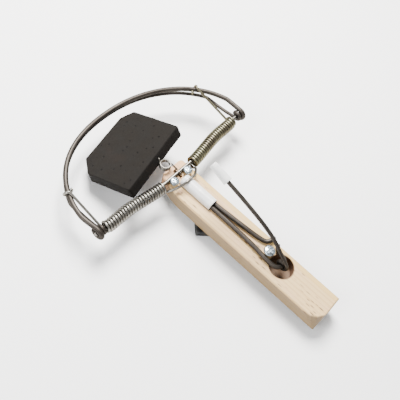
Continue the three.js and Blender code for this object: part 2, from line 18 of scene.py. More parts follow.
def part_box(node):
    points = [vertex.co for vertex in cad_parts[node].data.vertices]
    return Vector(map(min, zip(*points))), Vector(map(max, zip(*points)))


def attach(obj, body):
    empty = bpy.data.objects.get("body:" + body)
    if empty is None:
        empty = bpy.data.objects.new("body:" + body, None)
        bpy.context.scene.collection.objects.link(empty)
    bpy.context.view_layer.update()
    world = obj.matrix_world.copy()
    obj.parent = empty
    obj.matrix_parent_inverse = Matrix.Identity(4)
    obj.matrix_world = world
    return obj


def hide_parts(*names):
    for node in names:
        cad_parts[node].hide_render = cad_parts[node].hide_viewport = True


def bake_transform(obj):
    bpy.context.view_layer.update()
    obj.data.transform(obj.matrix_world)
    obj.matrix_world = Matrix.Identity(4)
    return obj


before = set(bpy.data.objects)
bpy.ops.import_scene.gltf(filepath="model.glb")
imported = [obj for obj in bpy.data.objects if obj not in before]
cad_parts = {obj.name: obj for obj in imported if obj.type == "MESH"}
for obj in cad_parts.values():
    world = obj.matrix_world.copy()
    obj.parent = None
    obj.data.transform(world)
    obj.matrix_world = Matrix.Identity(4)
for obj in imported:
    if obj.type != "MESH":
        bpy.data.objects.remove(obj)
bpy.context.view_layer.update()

LOG = logging.getLogger("trap")
MM = 0.001
HANDLE_HALF_WIDTH = 17.0
HANDLE_REAR = 191.0  # from the hinge axis to the rear end
HINGE_Z = 2.1  # height of the striker's hinge axis
CLAMP_Y = -5.4  # place of the crossbar's clamped middle
CROSSBAR_RADIUS = 1.8
ANCHOR_Z = 2.5  # height of the anchor wire's centre line
SLEEVE_RADIUS = 6.0
ANCHOR_SCREW = (1.9, -117.0, 5.0)  # under the head of the screw between the anchor's strands
HOLE_Y = -134.0  # middle of the handle's hole
GAP = 0.3  # clearance between neighbours

Array = np.ndarray
Socket = bpy.types.NodeSocket


class Body(Enum):
    """The rigid bodies that pieces ride on."""

    HANDLE = "handle"
    STRIKER = "striker"
    LATCH = "latch"
    TRIGGER = "trigger"


class Plane(Enum):
    """The planes that arcs lie in, as the two axes that their angle runs between."""

    YZ = (1, 2)
    XY = (0, 1)


class Paint(Enum):
    """The finishes, each with the name of its material slot."""

    WOOD = "wood"
    BOW = "bow_wire"
    BRIGHT = "bright_wire"
    OLIVE = "zinc_wire"
    SCREW = "zinc_screw"
    PLASTIC = "white_plastic"
    FOAM = "foam"
    RUBBER = "rubber"


# ---------------------------------------------------------------- surfaces


def arc(centre: Sequence[float], radius: float, start: float, end: float, count: int, plane: Plane) -> Array:
    """Points of a round arc.

    Args:
        centre: Middle of the arc.
        radius: Its radius.
        start: First angle in degrees.
        end: Last angle in degrees.
        count: Number of points.
        plane: Plane that it lies in.

    Returns:
        The points, centre + radius * (cos a, sin a) in the plane.
    """
    angle = np.radians(np.linspace(start, end, count))
    points = np.tile(np.asarray(centre, float), (count, 1))
    first, second = plane.value
    points[:, first] += radius * np.cos(angle)
    points[:, second] += radius * np.sin(angle)
    return points


def flowing(points: Sequence[Sequence[float]], step: float) -> Array:
    """A smooth curve through points, by Catmull-Rom, resampled at an even step.

    Args:
        points: The points it goes through.
        step: Distance between the points of the result.

    Returns:
        The resampled curve.
    """
    knots = np.asarray(points, float)
    ends = np.vstack([2 * knots[0] - knots[1], knots, 2 * knots[-1] - knots[-2]])
    t = np.linspace(0, 1, 24, endpoint=False)[:, None, None]
    a, b, c, d = ends[:-3], ends[1:-2], ends[2:-1], ends[3:]
    fine = 0.5 * (2 * b + (c - a) * t + (2 * a - 5 * b + 4 * c - d) * t**2 + (3 * b - a - 3 * c + d) * t**3)
    curve = np.vstack([fine.transpose(1, 0, 2).reshape(-1, 3), knots[-1:]])
    return even(curve, step)


def even(curve: Array, step: float) -> Array:
    """The same curve with points at an even step along it.

    Args:
        curve: Points of the curve.
        step: Distance between the new points, rounded so that a whole number of steps fits.

    Returns:
        The new points.
    """
    gone = np.concatenate([[0], np.cumsum(np.linalg.norm(np.diff(curve, axis=0), axis=1))])
    count = max(int(round(gone[-1] / step)), 2) + 1
    at = np.linspace(0, gone[-1], count)
    return np.stack([np.interp(at, gone, curve[:, k]) for k in range(3)], axis=1)


def softened(curve: Array, passes: int) -> Array:
    """The curve with its kinks eased: each pass averages every inner point with its neighbours.

    Args:
        curve: Points of the curve.
        passes: Number of passes.

    Returns:
        The eased points.
    """
    out = curve.copy()
    for _ in range(passes):
        out[1:-1] = 0.25 * out[:-2] + 0.5 * out[1:-1] + 0.25 * out[2:]
    return out


@dataclass
class Surface:
    """A grid of points that closes round in v, with both ends in u shut to a point.

    Attributes:
        grid: Array of rows by columns by 3, in millimetres.
        uv: Array of rows by columns + 1 by 2: distance along and share of the way round.
    """

    grid: Array
    uv: Array

    def mesh(self, name: str) -> bpy.types.Mesh:
        """The surface as a mesh in metres, with its faces outwards and a UV map.

        Args:
            name: Name of the mesh.

        Returns:
            The mesh.
        """
        rows, columns = self.grid.shape[:2]
        points = self.grid.reshape(-1, 3)
        tips = np.vstack([self.grid[0].mean(axis=0), self.grid[-1].mean(axis=0)])
        first, last = rows * columns, rows * columns + 1
        r, c = np.meshgrid(np.arange(rows - 1), np.arange(columns), indexing="ij")
        n = (c + 1) % columns
        here, below = r * columns, (r + 1) * columns
        quads = np.stack([here + c, here + n, below + n, below + c], axis=-1)
        at = np.arange(columns)
        after = (at + 1) % columns
        base = (rows - 1) * columns
        start = np.stack([np.full(columns, first), after, at], axis=1)
        end = np.stack([np.full(columns, last), base + at, base + after], axis=1)
        made = bpy.data.meshes.new(name)
        verts = np.vstack([points, tips]) * MM
        faces = [*quads.reshape(-1, 4).tolist(), *start.tolist(), *end.tolist()]
        made.from_pydata(verts.tolist(), [], faces)
        corner = np.stack(
            [self.uv[:-1, :-1], self.uv[:-1, 1:], self.uv[1:, 1:], self.uv[1:, :-1]], axis=2
        ).reshape(-1, 2)
        caps = np.concatenate(
            [
                np.stack([self.uv[0, :-1], self.uv[0, 1:], self.uv[0, :-1]], axis=1).reshape(-1, 2),
                np.stack([self.uv[-1, :-1], self.uv[-1, :-1], self.uv[-1, 1:]], axis=1).reshape(-1, 2),
            ]
        )
        layer = made.uv_layers.new(name="along")
        layer.data.foreach_set("uv", np.vstack([corner, caps]).astype(np.float32).ravel())
        made.polygons.foreach_set("use_smooth", np.ones(len(faces), bool))
        made.update()
        if signed_volume(made) < 0:
            made.flip_normals()
        return made


def signed_volume(mesh: bpy.types.Mesh) -> float:
    """Volume inside a closed mesh, as the sum of a . (b x c) / 6 over its triangles.

    Args:
        mesh: The mesh.

    Returns:
        The volume, negative where the faces point inwards.
    """
    mesh.calc_loop_triangles()
    tris = np.empty(len(mesh.loop_triangles) * 3, np.int64)
    mesh.loop_triangles.foreach_get("vertices", tris)
    co = np.empty(len(mesh.vertices) * 3)
    mesh.vertices.foreach_get("co", co)
    a, b, c = co.reshape(-1, 3)[tris.reshape(-1, 3)].transpose(1, 0, 2)
    return float(np.einsum("ij,ij->i", a, np.cross(b, c)).sum() / 6)


def sweep(path: Array, radius: float, sides: int, bulge: Optional[Array] = None) -> Surface:
    """A round wire along a path, with rounded ends.

    Each ring is path + r * (cos v * side + sin v * lift), where side and lift are carried along the
    path without twist, and r falls along a quarter circle, to 0.55 of itself, over the last half
    radius at each end.

    Args:
        path: Points of the centre line.
        radius: The wire's radius.
        sides: Points round the wire.
        bulge: Optional share of the radius at each path point.

    Returns:
        The surface.
    """
    gone = np.concatenate([[0], np.cumsum(np.linalg.norm(np.diff(path, axis=0), axis=1))])
    lip = np.array([0.0, 0.12, 0.3, 0.5]) * radius
    inner = gone[(gone > radius) & (gone < gone[-1] - radius)]
    at = np.unique(np.concatenate([lip, inner, gone[-1] - lip]))
    points = np.stack([np.interp(at, gone, path[:, k]) for k in range(3)], axis=1)
    along = np.gradient(points, at, axis=0)
    along /= np.linalg.norm(along, axis=1, keepdims=True)
    side = np.empty_like(along)
    seed = np.array([0.0, 0.0, 1.0]) if abs(along[0, 2]) < 0.9 else np.array([1.0, 0.0, 0.0])
    carried = np.cross(seed, along[0])
    for i, direction in enumerate(along):
        carried = carried - direction * (carried @ direction)
        carried = carried / np.linalg.norm(carried)
        side[i] = carried
    lift = np.cross(along, side)
    near_end = np.minimum(at, at[-1] - at) / (0.5 * radius)
    share = 0.55 + 0.45 * np.sqrt(1 - (1 - np.clip(near_end, 0, 1)) ** 2)
    if bulge is not None:
        share = share * np.interp(at, gone, bulge)
    turn = np.linspace(0, 2 * math.pi, sides, endpoint=False)
    ring = np.cos(turn)[None, :, None] * side[:, None] + np.sin(turn)[None, :, None] * lift[:, None]
    grid = points[:, None] + radius * share[:, None, None] * ring
    uv = np.stack(np.meshgrid(at * MM, np.linspace(0, 1, sides + 1), indexing="ij"), axis=-1)
    return Surface(grid, uv)


def turned(profile: Sequence[Sequence[float]], steps: int, shape: Optional[Callable] = None) -> Surface:
    """A profile turned about Z: the ring at each profile point (r, z) is (r cos v, r sin v, z).

    Args:
        profile: Points (radius, height) from one end of the axis to the other.
        steps: Points round each ring.
        shape: Optional function of radius, angle and height that returns a new radius and height.

    Returns:
        The surface.
    """
    outline = np.asarray(profile, float)
    turn = np.linspace(0, 2 * math.pi, steps, endpoint=False)
    radius = np.repeat(outline[:, :1], steps, axis=1)
    height = np.repeat(outline[:, 1:], steps, axis=1)
    if shape is not None:
        radius, height = shape(radius, np.broadcast_to(turn, radius.shape), height)
    grid = np.stack([radius * np.cos(turn), radius * np.sin(turn), height], axis=-1)
    gone = np.concatenate([[0], np.cumsum(np.linalg.norm(np.diff(outline, axis=0), axis=1))])
    uv = np.stack(np.meshgrid(gone * MM, np.linspace(0, 1, steps + 1), indexing="ij"), axis=-1)
    return Surface(grid, uv)


def rounded_profile(corners: Sequence[Sequence[float]], rounding: float) -> Array:
    """An open profile with its inner corners rounded by short arcs, as quadratic curves.

    Args:
        corners: Points (radius, height) of the profile.
        rounding: Distance from each corner at which the rounding starts.

    Returns:
        The profile's points.
    """
    pts = np.asarray(corners, float)
    out = [pts[0]]
    share = np.linspace(0, 1, 6)[:, None]
    for before, corner, after in zip(pts[:-2], pts[1:-1], pts[2:]):
        reach = [min(rounding, 0.45 * np.linalg.norm(p - corner)) for p in (before, after)]
        a = corner + (before - corner) / np.linalg.norm(before - corner) * reach[0]
        b = corner + (after - corner) / np.linalg.norm(after - corner) * reach[1]
        out.extend((1 - share) ** 2 * a + 2 * share * (1 - share) * corner + share**2 * b)
    out.append(pts[-1])
    return np.array(out)


def block(outline: Array, thickness: float, edge: float, crown: float, rings: int = 22) -> Surface:
    """A slab with rounded rims over a convex outline.

    A ring at share s of the way from the middle to the outline, moved in by an edge distance e, is
    middle + (outline - middle) * (s - e / reach). The top runs from s = 0 to 1, the rim is a quarter
    circle of radius edge, and the top is crowned by crown * (1 - s ** 4).

    Args:
        outline: Points of the outline, as x and y.
        thickness: From top to bottom; the top is at z = 0.
        edge: Radius of the rims.
        crown: How far the middle of each face stands proud.
        rings: Rings on each face.

    Returns:
        The surface.
    """
    middle = outline.mean(axis=0)
    out = outline - middle
    reach = np.linalg.norm(out, axis=1)
    share = np.linspace(0.02, 1, rings) ** 0.8
    quarter = np.radians(np.linspace(0, 90, 7))[1:]
    face = np.stack([share, np.full(rings, edge), crown * (1 - share**4)], axis=1)
    rim = np.stack([np.ones(6), edge * (1 - np.sin(quarter)), -edge * (1 - np.cos(quarter))], axis=1)
    wall_z = np.linspace(-edge, -(thickness - edge), 6)[1:-1]
    wall = np.stack([np.ones(4), np.zeros(4), wall_z], axis=1)
    upper = np.vstack([face, rim])
    lower = upper[::-1].copy()
    lower[:, 2] = -thickness - lower[:, 2]
    rows = np.vstack([upper, wall, lower])
    pull = rows[:, 0, None] - rows[:, 1, None] / reach[None, :] * rows[:, 0, None]
    grid = np.empty((len(rows), len(outline), 3))
    grid[..., :2] = middle + out[None] * pull[..., None]
    grid[..., 2] = rows[:, 2, None]
    along = np.linspace(0, 1, len(rows))
    uv = np.stack(np.meshgrid(along, np.linspace(0, 1, len(outline) + 1), indexing="ij"), axis=-1)
    return Surface(grid, uv)


def polygon(corners: Sequence[Sequence[float]], rounding: float, step: float) -> Array:
    """A closed outline with rounded corners, resampled at an even step.

    Args:
        corners: Its corners, as x and y.
        rounding: Distance from each corner at which the rounding starts.
        step: Distance between the points of the result.

    Returns:
        The outline's points, as x and y.
    """
    pts = np.asarray(corners, float)
    closed = np.vstack([(pts[-1] + pts[0]) / 2, pts, (pts[-1] + pts[0]) / 2])
    ring = rounded_profile(closed, rounding)
    flat = np.hstack([ring, np.zeros((len(ring), 1))])
    return even(flat, step)[:-1, :2]


def ripple(points: Array, size: float, seed: int) -> Array:
    """Smooth uneven offsets: a sum of five sine waves of random direction over the points.

    Args:
        points: Points in millimetres.
        size: Longest wave, in millimetres.
        seed: Seed of the random draw.

    Returns:
        One number from about -1 to 1 for each point.
    """
    draw = np.random.default_rng(seed)
    pace = np.array([1, 1.3, 1.7, 2.3, 3.1])[:, None] / 1.7
    waves = draw.normal(size=(5, 3)) * (2 * math.pi / size) * pace
    phase = draw.uniform(0, 2 * math.pi, 5)
    return np.sin(points @ waves.T + phase).mean(axis=-1)


# ---------------------------------------------------------------- materials


class Nodes:
    """Short words for laying out one node tree."""

    def __init__(self, tree: bpy.types.NodeTree) -> None:
        """Keeps the tree that nodes are added to."""
        self.tree = tree

    def add(self, kind: str, **settings: object) -> bpy.types.Node:
        """Adds a node.

        Args:
            kind: Its type.
            settings: Its properties.

        Returns:
            The node.
        """
        node = self.tree.nodes.new(kind)
        for name, value in settings.items():
            setattr(node, name, value)
        return node

    def feed(self, socket: Socket, value: object) -> None:
        """Links or sets an input.

        Args:
            socket: The input.
            value: A socket to link to it, a value to set it to, or None to leave it.
        """
        if isinstance(value, Socket):
            self.tree.links.new(value, socket)
        elif value is not None:
            socket.default_value = value

    def sum(self, operation: str, a: object, b: object = None) -> Socket:
        """Adds a Math node.

        Args:
            operation: What it works out.
            a: Its first value.
            b: Its second value, if it takes one.

        Returns:
            The result.
        """
        node = self.add("ShaderNodeMath", operation=operation)
        self.feed(node.inputs[0], a)
        self.feed(node.inputs[1], b)
        return node.outputs[0]

    def mix(self, factor: object, a: object, b: object) -> Socket:
        """Adds a colour Mix node.

        Args:
            factor: Share of b.
            a: Colour or socket.
            b: Colour or socket laid over a.

        Returns:
            The mixed colour.
        """
        node = self.add("ShaderNodeMix", data_type="RGBA")
        self.feed(node.inputs["Factor"], factor)
        for socket, value in ((node.inputs[6], a), (node.inputs[7], b)):
            self.feed(socket, rgba(value) if isinstance(value, tuple) else value)
        return node.outputs[2]

    def ramp(
        self, value: Socket, low: float, high: float, to_low: float = 0.0, to_high: float = 1.0
    ) -> Socket:
        """Adds a smooth step.

        Args:
            value: What it reads.
            low: Where the step starts.
            high: Where it ends.
            to_low: Result at low and before it.
            to_high: Result at high and past it.

        Returns:
            The result.
        """
        node = self.add("ShaderNodeMapRange", interpolation_type="SMOOTHSTEP")
        self.feed(node.inputs["Value"], value)
        ends = {"From Min": low, "From Max": high, "To Min": to_low, "To Max": to_high}
        for name, number in ends.items():
            node.inputs[name].default_value = number
        return node.outputs["Result"]

    def noise(self, vector: Socket, scale: object, detail: float, rough: float) -> Socket:
        """Adds a Noise Texture.

        Args:
            vector: Where it is read.
            scale: Lumps per unit.
            detail: Octaves of finer noise.
            rough: Strength of each octave against the one before.

        Returns:
            Its value.
        """
        node = self.add("ShaderNodeTexNoise")
        self.feed(node.inputs["Vector"], vector)
        self.feed(node.inputs["Scale"], scale)
        node.inputs["Detail"].default_value = detail
        node.inputs["Roughness"].default_value = rough
        return node.outputs["Fac"]

    def cells(self, vector: Socket, scale: float) -> Socket:
        """Adds a Voronoi Texture.

        Args:
            vector: Where it is read.
            scale: Cells per unit.

        Returns:
            The distance from the nearest cell's point.
        """
        node = self.add("ShaderNodeTexVoronoi")
        self.feed(node.inputs["Vector"], vector)
        self.feed(node.inputs["Scale"], scale)
        return node.outputs["Distance"]

    def mapped(self, vector: Socket, scale: Sequence[float], shift: Sequence[float] = (0, 0, 0)) -> Socket:
        """Adds a Mapping node.

        Args:
            vector: What it reads.
            scale: Scale on each axis.
            shift: What it adds after scaling.

        Returns:
            The mapped vector.
        """
        node = self.add("ShaderNodeMapping")
        self.feed(node.inputs["Vector"], vector)
        node.inputs["Scale"].default_value = scale
        node.inputs["Location"].default_value = shift
        return node.outputs[0]

    def bump(self, height: Socket, distance: float, strength: float) -> Socket:
        """Adds a Bump node.

        Args:
            height: Relief from 0 to 1.
            distance: How deep the relief is, in metres.
            strength: How much of it is used.

        Returns:
            The normal.
        """
        node = self.add("ShaderNodeBump")
        node.inputs["Distance"].default_value = distance
        node.inputs["Strength"].default_value = strength
        self.feed(node.inputs["Height"], height)
        return node.outputs[0]


def rgba(colour: Sequence[float]) -> tuple:
    """A colour with its alpha."""
    return (*colour[:3], 1.0)


def linear(red: int, green: int, blue: int) -> tuple:
    """A display colour in linear light.

    Args:
        red: Red, 0 to 255.
        green: Green, 0 to 255.
        blue: Blue, 0 to 255.

    Returns:
        The three parts, 0 to 1.
    """
    share = np.array([red, green, blue]) / 255
    light = np.where(share > 0.04045, ((share + 0.055) / 1.055) ** 2.4, share / 12.92)
    return tuple(float(part) for part in light)


def group(name: str, inputs: dict, outputs: dict, lay_out: Callable) -> bpy.types.NodeTree:
    """A shader node group.

    Args:
        name: Name of the group.
        inputs: Socket name to (kind, default).
        outputs: Socket name to kind.
        lay_out: Function of a Nodes and the group's input sockets that returns output name to socket.

    Returns:
        The group.
    """
    tree = bpy.data.node_groups.new(name, "ShaderNodeTree")
    for label, (kind, default) in inputs.items():
        socket = tree.interface.new_socket(label, in_out="INPUT", socket_type=kind)
        if default is not None:
            socket.default_value = default
    for label, kind in outputs.items():
        tree.interface.new_socket(label, in_out="OUTPUT", socket_type=kind)
    nodes = Nodes(tree)
    entry = nodes.add("NodeGroupInput")
    leave = nodes.add("NodeGroupOutput")
    for label, socket in lay_out(nodes, entry.outputs).items():
        tree.links.new(socket, leave.inputs[label])
    return tree


FLOAT, COLOUR, VECTOR = "NodeSocketFloat", "NodeSocketColor", "NodeSocketVector"


def mottle_group() -> bpy.types.NodeTree:
    """Blotches and fine specks over any surface, used by every finish."""

    def lay_out(nodes: Nodes, given: bpy.types.NodeOutputs) -> dict:
        """Lays out large noise for blotches and small noise for specks.

        Args:
            nodes: The group's nodes.
            given: The group's inputs.

        Returns:
            Output name to socket.
        """
        blotch = nodes.noise(given["Vector"], given["Blotch scale"], 4.0, 0.6)
        speck = nodes.noise(given["Vector"], given["Speck scale"], 2.0, 0.5)
        return {"Blotch": nodes.ramp(blotch, 0.35, 0.65), "Speck": nodes.ramp(speck, 0.6, 0.72)}

    inputs = {"Vector": (VECTOR, None), "Blotch scale": (FLOAT, 60.0), "Speck scale": (FLOAT, 900.0)}
    return group("mottle", inputs, {"Blotch": FLOAT, "Speck": FLOAT}, lay_out)


def wire_group() -> bpy.types.NodeTree:
    """Fine lines drawn along a wire, worked out from its UV map: u runs along, v round."""

    def lay_out(nodes: Nodes, given: bpy.types.NodeOutputs) -> dict:
        """Lays out noise stretched along the wire for lines, and squeezed along it for nicks.

        Args:
            nodes: The group's nodes.
            given: The group's inputs.

        Returns:
            Output name to socket.
        """
        lines = nodes.noise(nodes.mapped(given["UV"], (60, 24, 1)), 1.0, 3.0, 0.6)
        nicks = nodes.noise(nodes.mapped(given["UV"], (900, 5, 1)), 1.0, 2.0, 0.5)
        return {"Lines": lines, "Nicks": nodes.ramp(nicks, 0.62, 0.75)}

    return group("wire_marks", {"UV": (VECTOR, None)}, {"Lines": FLOAT, "Nicks": FLOAT}, lay_out)


class Finish:
    """A material with its Principled BSDF, and the parts that finishes share."""

    groups: dict = {}

    def __init__(self, name: str, roughness: float = 0.5, metallic: float = 0.0) -> None:
        """Makes the plain material.

        Args:
            name: Its name.
            roughness: Its roughness until a texture feeds it.
            metallic: Share of metal.
        """
        self.material = bpy.data.materials.new(name)
        self.material.use_nodes = True
        self.nodes = Nodes(self.material.node_tree)
        self.shader = self.material.node_tree.nodes["Principled BSDF"]
        self.shader.inputs["Roughness"].default_value = roughness
        self.shader.inputs["Metallic"].default_value = metallic
        place = self.nodes.add("ShaderNodeTexCoord")
        self.place = place.outputs["Object"]
        self.uv = place.outputs["UV"]

    def shared(self, name: str, **inputs: object) -> bpy.types.Node:
        """Places one of the shared groups, and builds it the first time.

        Args:
            name: The group's name.
            inputs: Its inputs, with underscores for the spaces in their names.

        Returns:
            The group's node.
        """
        makers = {"mottle": mottle_group, "wire_marks": wire_group}
        if name not in Finish.groups:
            Finish.groups[name] = makers[name]()
        node = self.nodes.add("ShaderNodeGroup", node_tree=Finish.groups[name])
        for label, value in inputs.items():
            self.nodes.feed(node.inputs[label.replace("_", " ")], value)
        return node

    def set(self, name: str, value: object) -> None:
        """Feeds one input of the shader."""
        self.nodes.feed(self.shader.inputs[name], value)


@dataclass(frozen=True)
class WireFinish:
    """Steel wire.

    Attributes:
        name: Name of the material.
        base: Main colour.
        tint: Colour of the blotches.
        speck: Colour of the specks.
        roughness: Lowest and highest roughness.
        metallic: Share of metal in the surface.
        blotch_scale: Blotches per metre, about.
        edge: Tint of glancing reflections.
    """

    name: str
    base: tuple
    tint: tuple
    speck: tuple
    roughness: tuple
    metallic: float = 1.0
    blotch_scale: float = 45.0
    edge: tuple = (0.4, 0.39, 0.37, 1.0)

    def make(self) -> bpy.types.Material:
        """Builds the material."""
        finish = Finish(self.name, metallic=self.metallic)
        nodes = finish.nodes
        scales = {"Blotch_scale": self.blotch_scale, "Speck_scale": 1100.0}
        spots = finish.shared("mottle", Vector=finish.place, **scales)
        marks = finish.shared("wire_marks", UV=finish.uv)
        colour = nodes.mix(spots.outputs["Blotch"], self.base, self.tint)
        colour = nodes.mix(nodes.ramp(marks.outputs["Lines"], 0.3, 0.75, 0.0, 0.5), colour, self.speck)
        colour = nodes.mix(nodes.sum("MULTIPLY", spots.outputs["Speck"], 0.6), colour, self.speck)
        finish.set("Base Color", colour)
        finish.set("Roughness", nodes.ramp(marks.outputs["Lines"], 0.25, 0.75, *self.roughness))
        height = nodes.sum("ADD", marks.outputs["Lines"], nodes.sum("MULTIPLY", marks.outputs["Nicks"], -0.8))
        finish.set("Normal", nodes.bump(height, 0.00006, 0.8))
        finish.set("Specular Tint", self.edge)
        return finish.material


@dataclass(frozen=True)
class WoodFinish:
    """Bare planed softwood, stained at the head and darkened at the hole's rim, with painted shade on its
    sides, end and hole wall and a painted shadow under the spring's loop.

    Attributes:
        origin: The design space's origin in the frame, in metres.
        hole: Middle of the hole, in metres from the origin.
        shadow_spot: Middle of the painted shadow under the spring's loop, in metres from the origin.
    """

    origin: tuple
    hole: tuple = (0.0012, HOLE_Y * MM)
    shadow_spot: tuple = (-0.0118, -0.0205)

    def make(self) -> bpy.types.Material:
        """Builds the material: a pale ground under layers of colour, each with its own mask."""
        finish = Finish("planed_wood", 0.62)
        nodes = finish.nodes
        here = nodes.mapped(finish.place, (1, 1, 1), tuple(-part for part in self.origin))
        axes = nodes.add("ShaderNodeSeparateXYZ")
        nodes.feed(axes.inputs[0], here)
        x, y, z = axes.outputs
        grain, dash = self._grain(nodes, here), self._dashes(nodes, here)
        wander = nodes.noise(nodes.mapped(here, (60, 9, 60)), 1.0, 3.0, 0.6)
        fibre = nodes.noise(nodes.mapped(here, (1400, 30, 1400)), 1.0, 3.0, 0.6)
        rim = nodes.sum("MULTIPLY", nodes.ramp(x, 0.0095, 0.0135), nodes.ramp(z, -0.003, -0.0008))
        layers = (
            (nodes.sum("MULTIPLY", grain, 0.55), linear(174, 136, 86)),  # growth bands
            (nodes.ramp(wander, 0.42, 0.72, 0.0, 0.55), linear(204, 164, 138)),  # rosy patches
            (nodes.ramp(fibre, 0.5, 0.8, 0.0, 0.35), linear(158, 124, 92)),  # fibres
            (nodes.sum("MULTIPLY", dash, 0.9), linear(84, 60, 42)),  # dark dashes
            (nodes.sum("MULTIPLY", rim, 0.6), linear(206, 172, 98)),  # warm right rim
            (nodes.ramp(z, -0.0008, -0.002, 0.0, 0.85), linear(106, 84, 48)),  # painted shade: sides and end darker than the top
            (nodes.ramp(y, -0.016, 0.001, 0.0, 0.4), linear(204, 148, 120)),  # stained head
            (self._hole_shade_and_rim(nodes, x, y, z, wander), linear(84, 58, 42)),  # painted shade on the hole's wall, and its dark ragged rim
            (self._loop_shadow_mask(nodes, x, y, z), linear(122, 88, 58)),  # painted shadow under the spring's loop
            (nodes.ramp(z, -0.0153, -0.0168, 0.0, 0.7), linear(74, 70, 54)),  # darker olive band along the bottom edge
        )
        colour = linear(206, 174, 122)
        for mask, tint in layers:
            colour = nodes.mix(mask, colour, tint)
        finish.set("Base Color", colour)
        finish.set("Roughness", nodes.ramp(fibre, 0.3, 0.8, 0.52, 0.78))
        height = nodes.sum("ADD", nodes.sum("MULTIPLY", fibre, 0.5), nodes.sum("MULTIPLY", grain, 0.5))
        finish.set("Normal", nodes.bump(nodes.sum("SUBTRACT", height, dash), 0.00018, 0.7))
        return finish.material

    @staticmethod
    def _grain(nodes: Nodes, here: Socket) -> Socket:
        """Mask of the growth bands, which run along Y.

        Args:
            nodes: The material's nodes.
            here: Place from the origin.

        Returns:
            The mask.
        """
        bands = nodes.add("ShaderNodeTexWave", wave_type="BANDS", bands_direction="X", wave_profile="SAW")
        nodes.feed(bands.inputs["Vector"], nodes.mapped(here, (1, 0.05, 0.55)))
        settings = {"Scale": 75.0, "Distortion": 4.5, "Detail": 3.0, "Detail Scale": 1.3}
        for name, value in settings.items():
            bands.inputs[name].default_value = value
        return nodes.ramp(bands.outputs["Fac"], 0.55, 1.0)

    @staticmethod
    def _dashes(nodes: Nodes, here: Socket) -> Socket:
        """Mask of the short dark dashes, which come in patches.

        Args:
            nodes: The material's nodes.
            here: Place from the origin.

        Returns:
            The mask.
        """
        dashes = nodes.cells(nodes.mapped(here, (420, 90, 420)), 1.0)
        patches = nodes.noise(nodes.mapped(here, (50, 30, 50)), 1.0, 2.0, 0.5)
        return nodes.sum("MULTIPLY", nodes.ramp(dashes, 0.3, 0.14), nodes.ramp(patches, 0.44, 0.56))

    @staticmethod
    def _distance(
        nodes: Nodes, x: Socket, y: Socket, centre: Sequence[float], stretch: float = 1.0
    ) -> Socket:
        """Distance from an upright line.

        Args:
            nodes: The material's nodes.
            x: Place along X.
            y: Place along Y.
            centre: Where the line stands.
            stretch: What distances along Y are multiplied by.

        Returns:
            The distance in metres.
        """
        along = nodes.sum("SUBTRACT", x, centre[0])
        across = nodes.sum("MULTIPLY", nodes.sum("SUBTRACT", y, centre[1]), stretch)
        square = nodes.sum("ADD", nodes.sum("MULTIPLY", along, along), nodes.sum("MULTIPLY", across, across))
        return nodes.sum("SQRT", square)

    def _hole_shade_and_rim(self, nodes: Nodes, x: Socket, y: Socket, z: Socket, wander: Socket) -> Socket:
        """Mask of the painted shade on the hole's wall, and of its dark ragged rim.

        Args:
            nodes: The material's nodes.
            x: Place along X.
            y: Place along Y.
            z: Height.
            wander: Noise that makes the rim uneven.

        Returns:
            The mask.
        """
        reach = self._distance(nodes, x, y, self.hole)
        uneven = nodes.sum("ADD", reach, nodes.sum("MULTIPLY", wander, 0.0016))
        wall = nodes.sum("MULTIPLY", nodes.ramp(z, -0.0002, -0.0014), nodes.ramp(uneven, 0.0142, 0.0136))
        wall = nodes.sum("MULTIPLY", wall, nodes.ramp(uneven, 0.0108, 0.0122, 0.25, 1.0))
        rim = nodes.sum("MULTIPLY", nodes.ramp(uneven, 0.0138, 0.0129), 0.75)
        return nodes.sum("MAXIMUM", nodes.sum("MULTIPLY", wall, 0.9), rim)

    def _loop_shadow_mask(self, nodes: Nodes, x: Socket, y: Socket, z: Socket) -> Socket:
        """Mask of the brown painted shadow that the spring's loop casts on the left of the head.

        Args:
            nodes: The material's nodes.
            x: Place along X.
            y: Place along Y.
            z: Height.

        Returns:
            The mask.
        """
        reach = self._distance(nodes, x, y, self.shadow_spot, 1.7)
        shadow_patch = nodes.ramp(reach, 0.0058, 0.003)
        return nodes.sum("MULTIPLY", nodes.sum("MULTIPLY", shadow_patch, nodes.ramp(z, -0.003, -0.001)), 0.7)


@dataclass(frozen=True)
class PlasticFinish:
    """White plastic tube with grey-blue scuffs, which also serve as painted shade.

    Attributes:
        name: Name of the material.
        base: Main colour.
        scuff_and_shade: Colour of the scuffs, which also serve as painted shade.
    """

    name: str
    base: tuple
    scuff_and_shade: tuple

    def make(self) -> bpy.types.Material:
        """Builds the material."""
        finish = Finish(self.name, 0.38)
        nodes = finish.nodes
        spots = finish.shared("mottle", Vector=finish.place, Blotch_scale=120.0, Speck_scale=1500.0)
        rub_and_shade_noise = nodes.noise(nodes.mapped(finish.place, (500, 130, 500)), 1.0, 4.0, 0.65)
        rubs_and_shade = nodes.ramp(rub_and_shade_noise, 0.6, 0.7)
        # grey-blue scuffs and blotches: partly wear, partly painted shade
        colour = nodes.mix(nodes.sum("MULTIPLY", rubs_and_shade, 0.45), self.base, self.scuff_and_shade)
        colour = nodes.mix(nodes.sum("MULTIPLY", spots.outputs["Blotch"], 0.18), colour, self.scuff_and_shade)
        finish.set("Base Color", colour)
        finish.set("Roughness", nodes.ramp(rubs_and_shade, 0, 1, 0.32, 0.6))
        finish.set("Normal", nodes.bump(nodes.sum("ADD", rubs_and_shade, spots.outputs["Speck"]), 0.00005, 0.6))
        finish.set("Coat Weight", 0.15)
        return finish.material


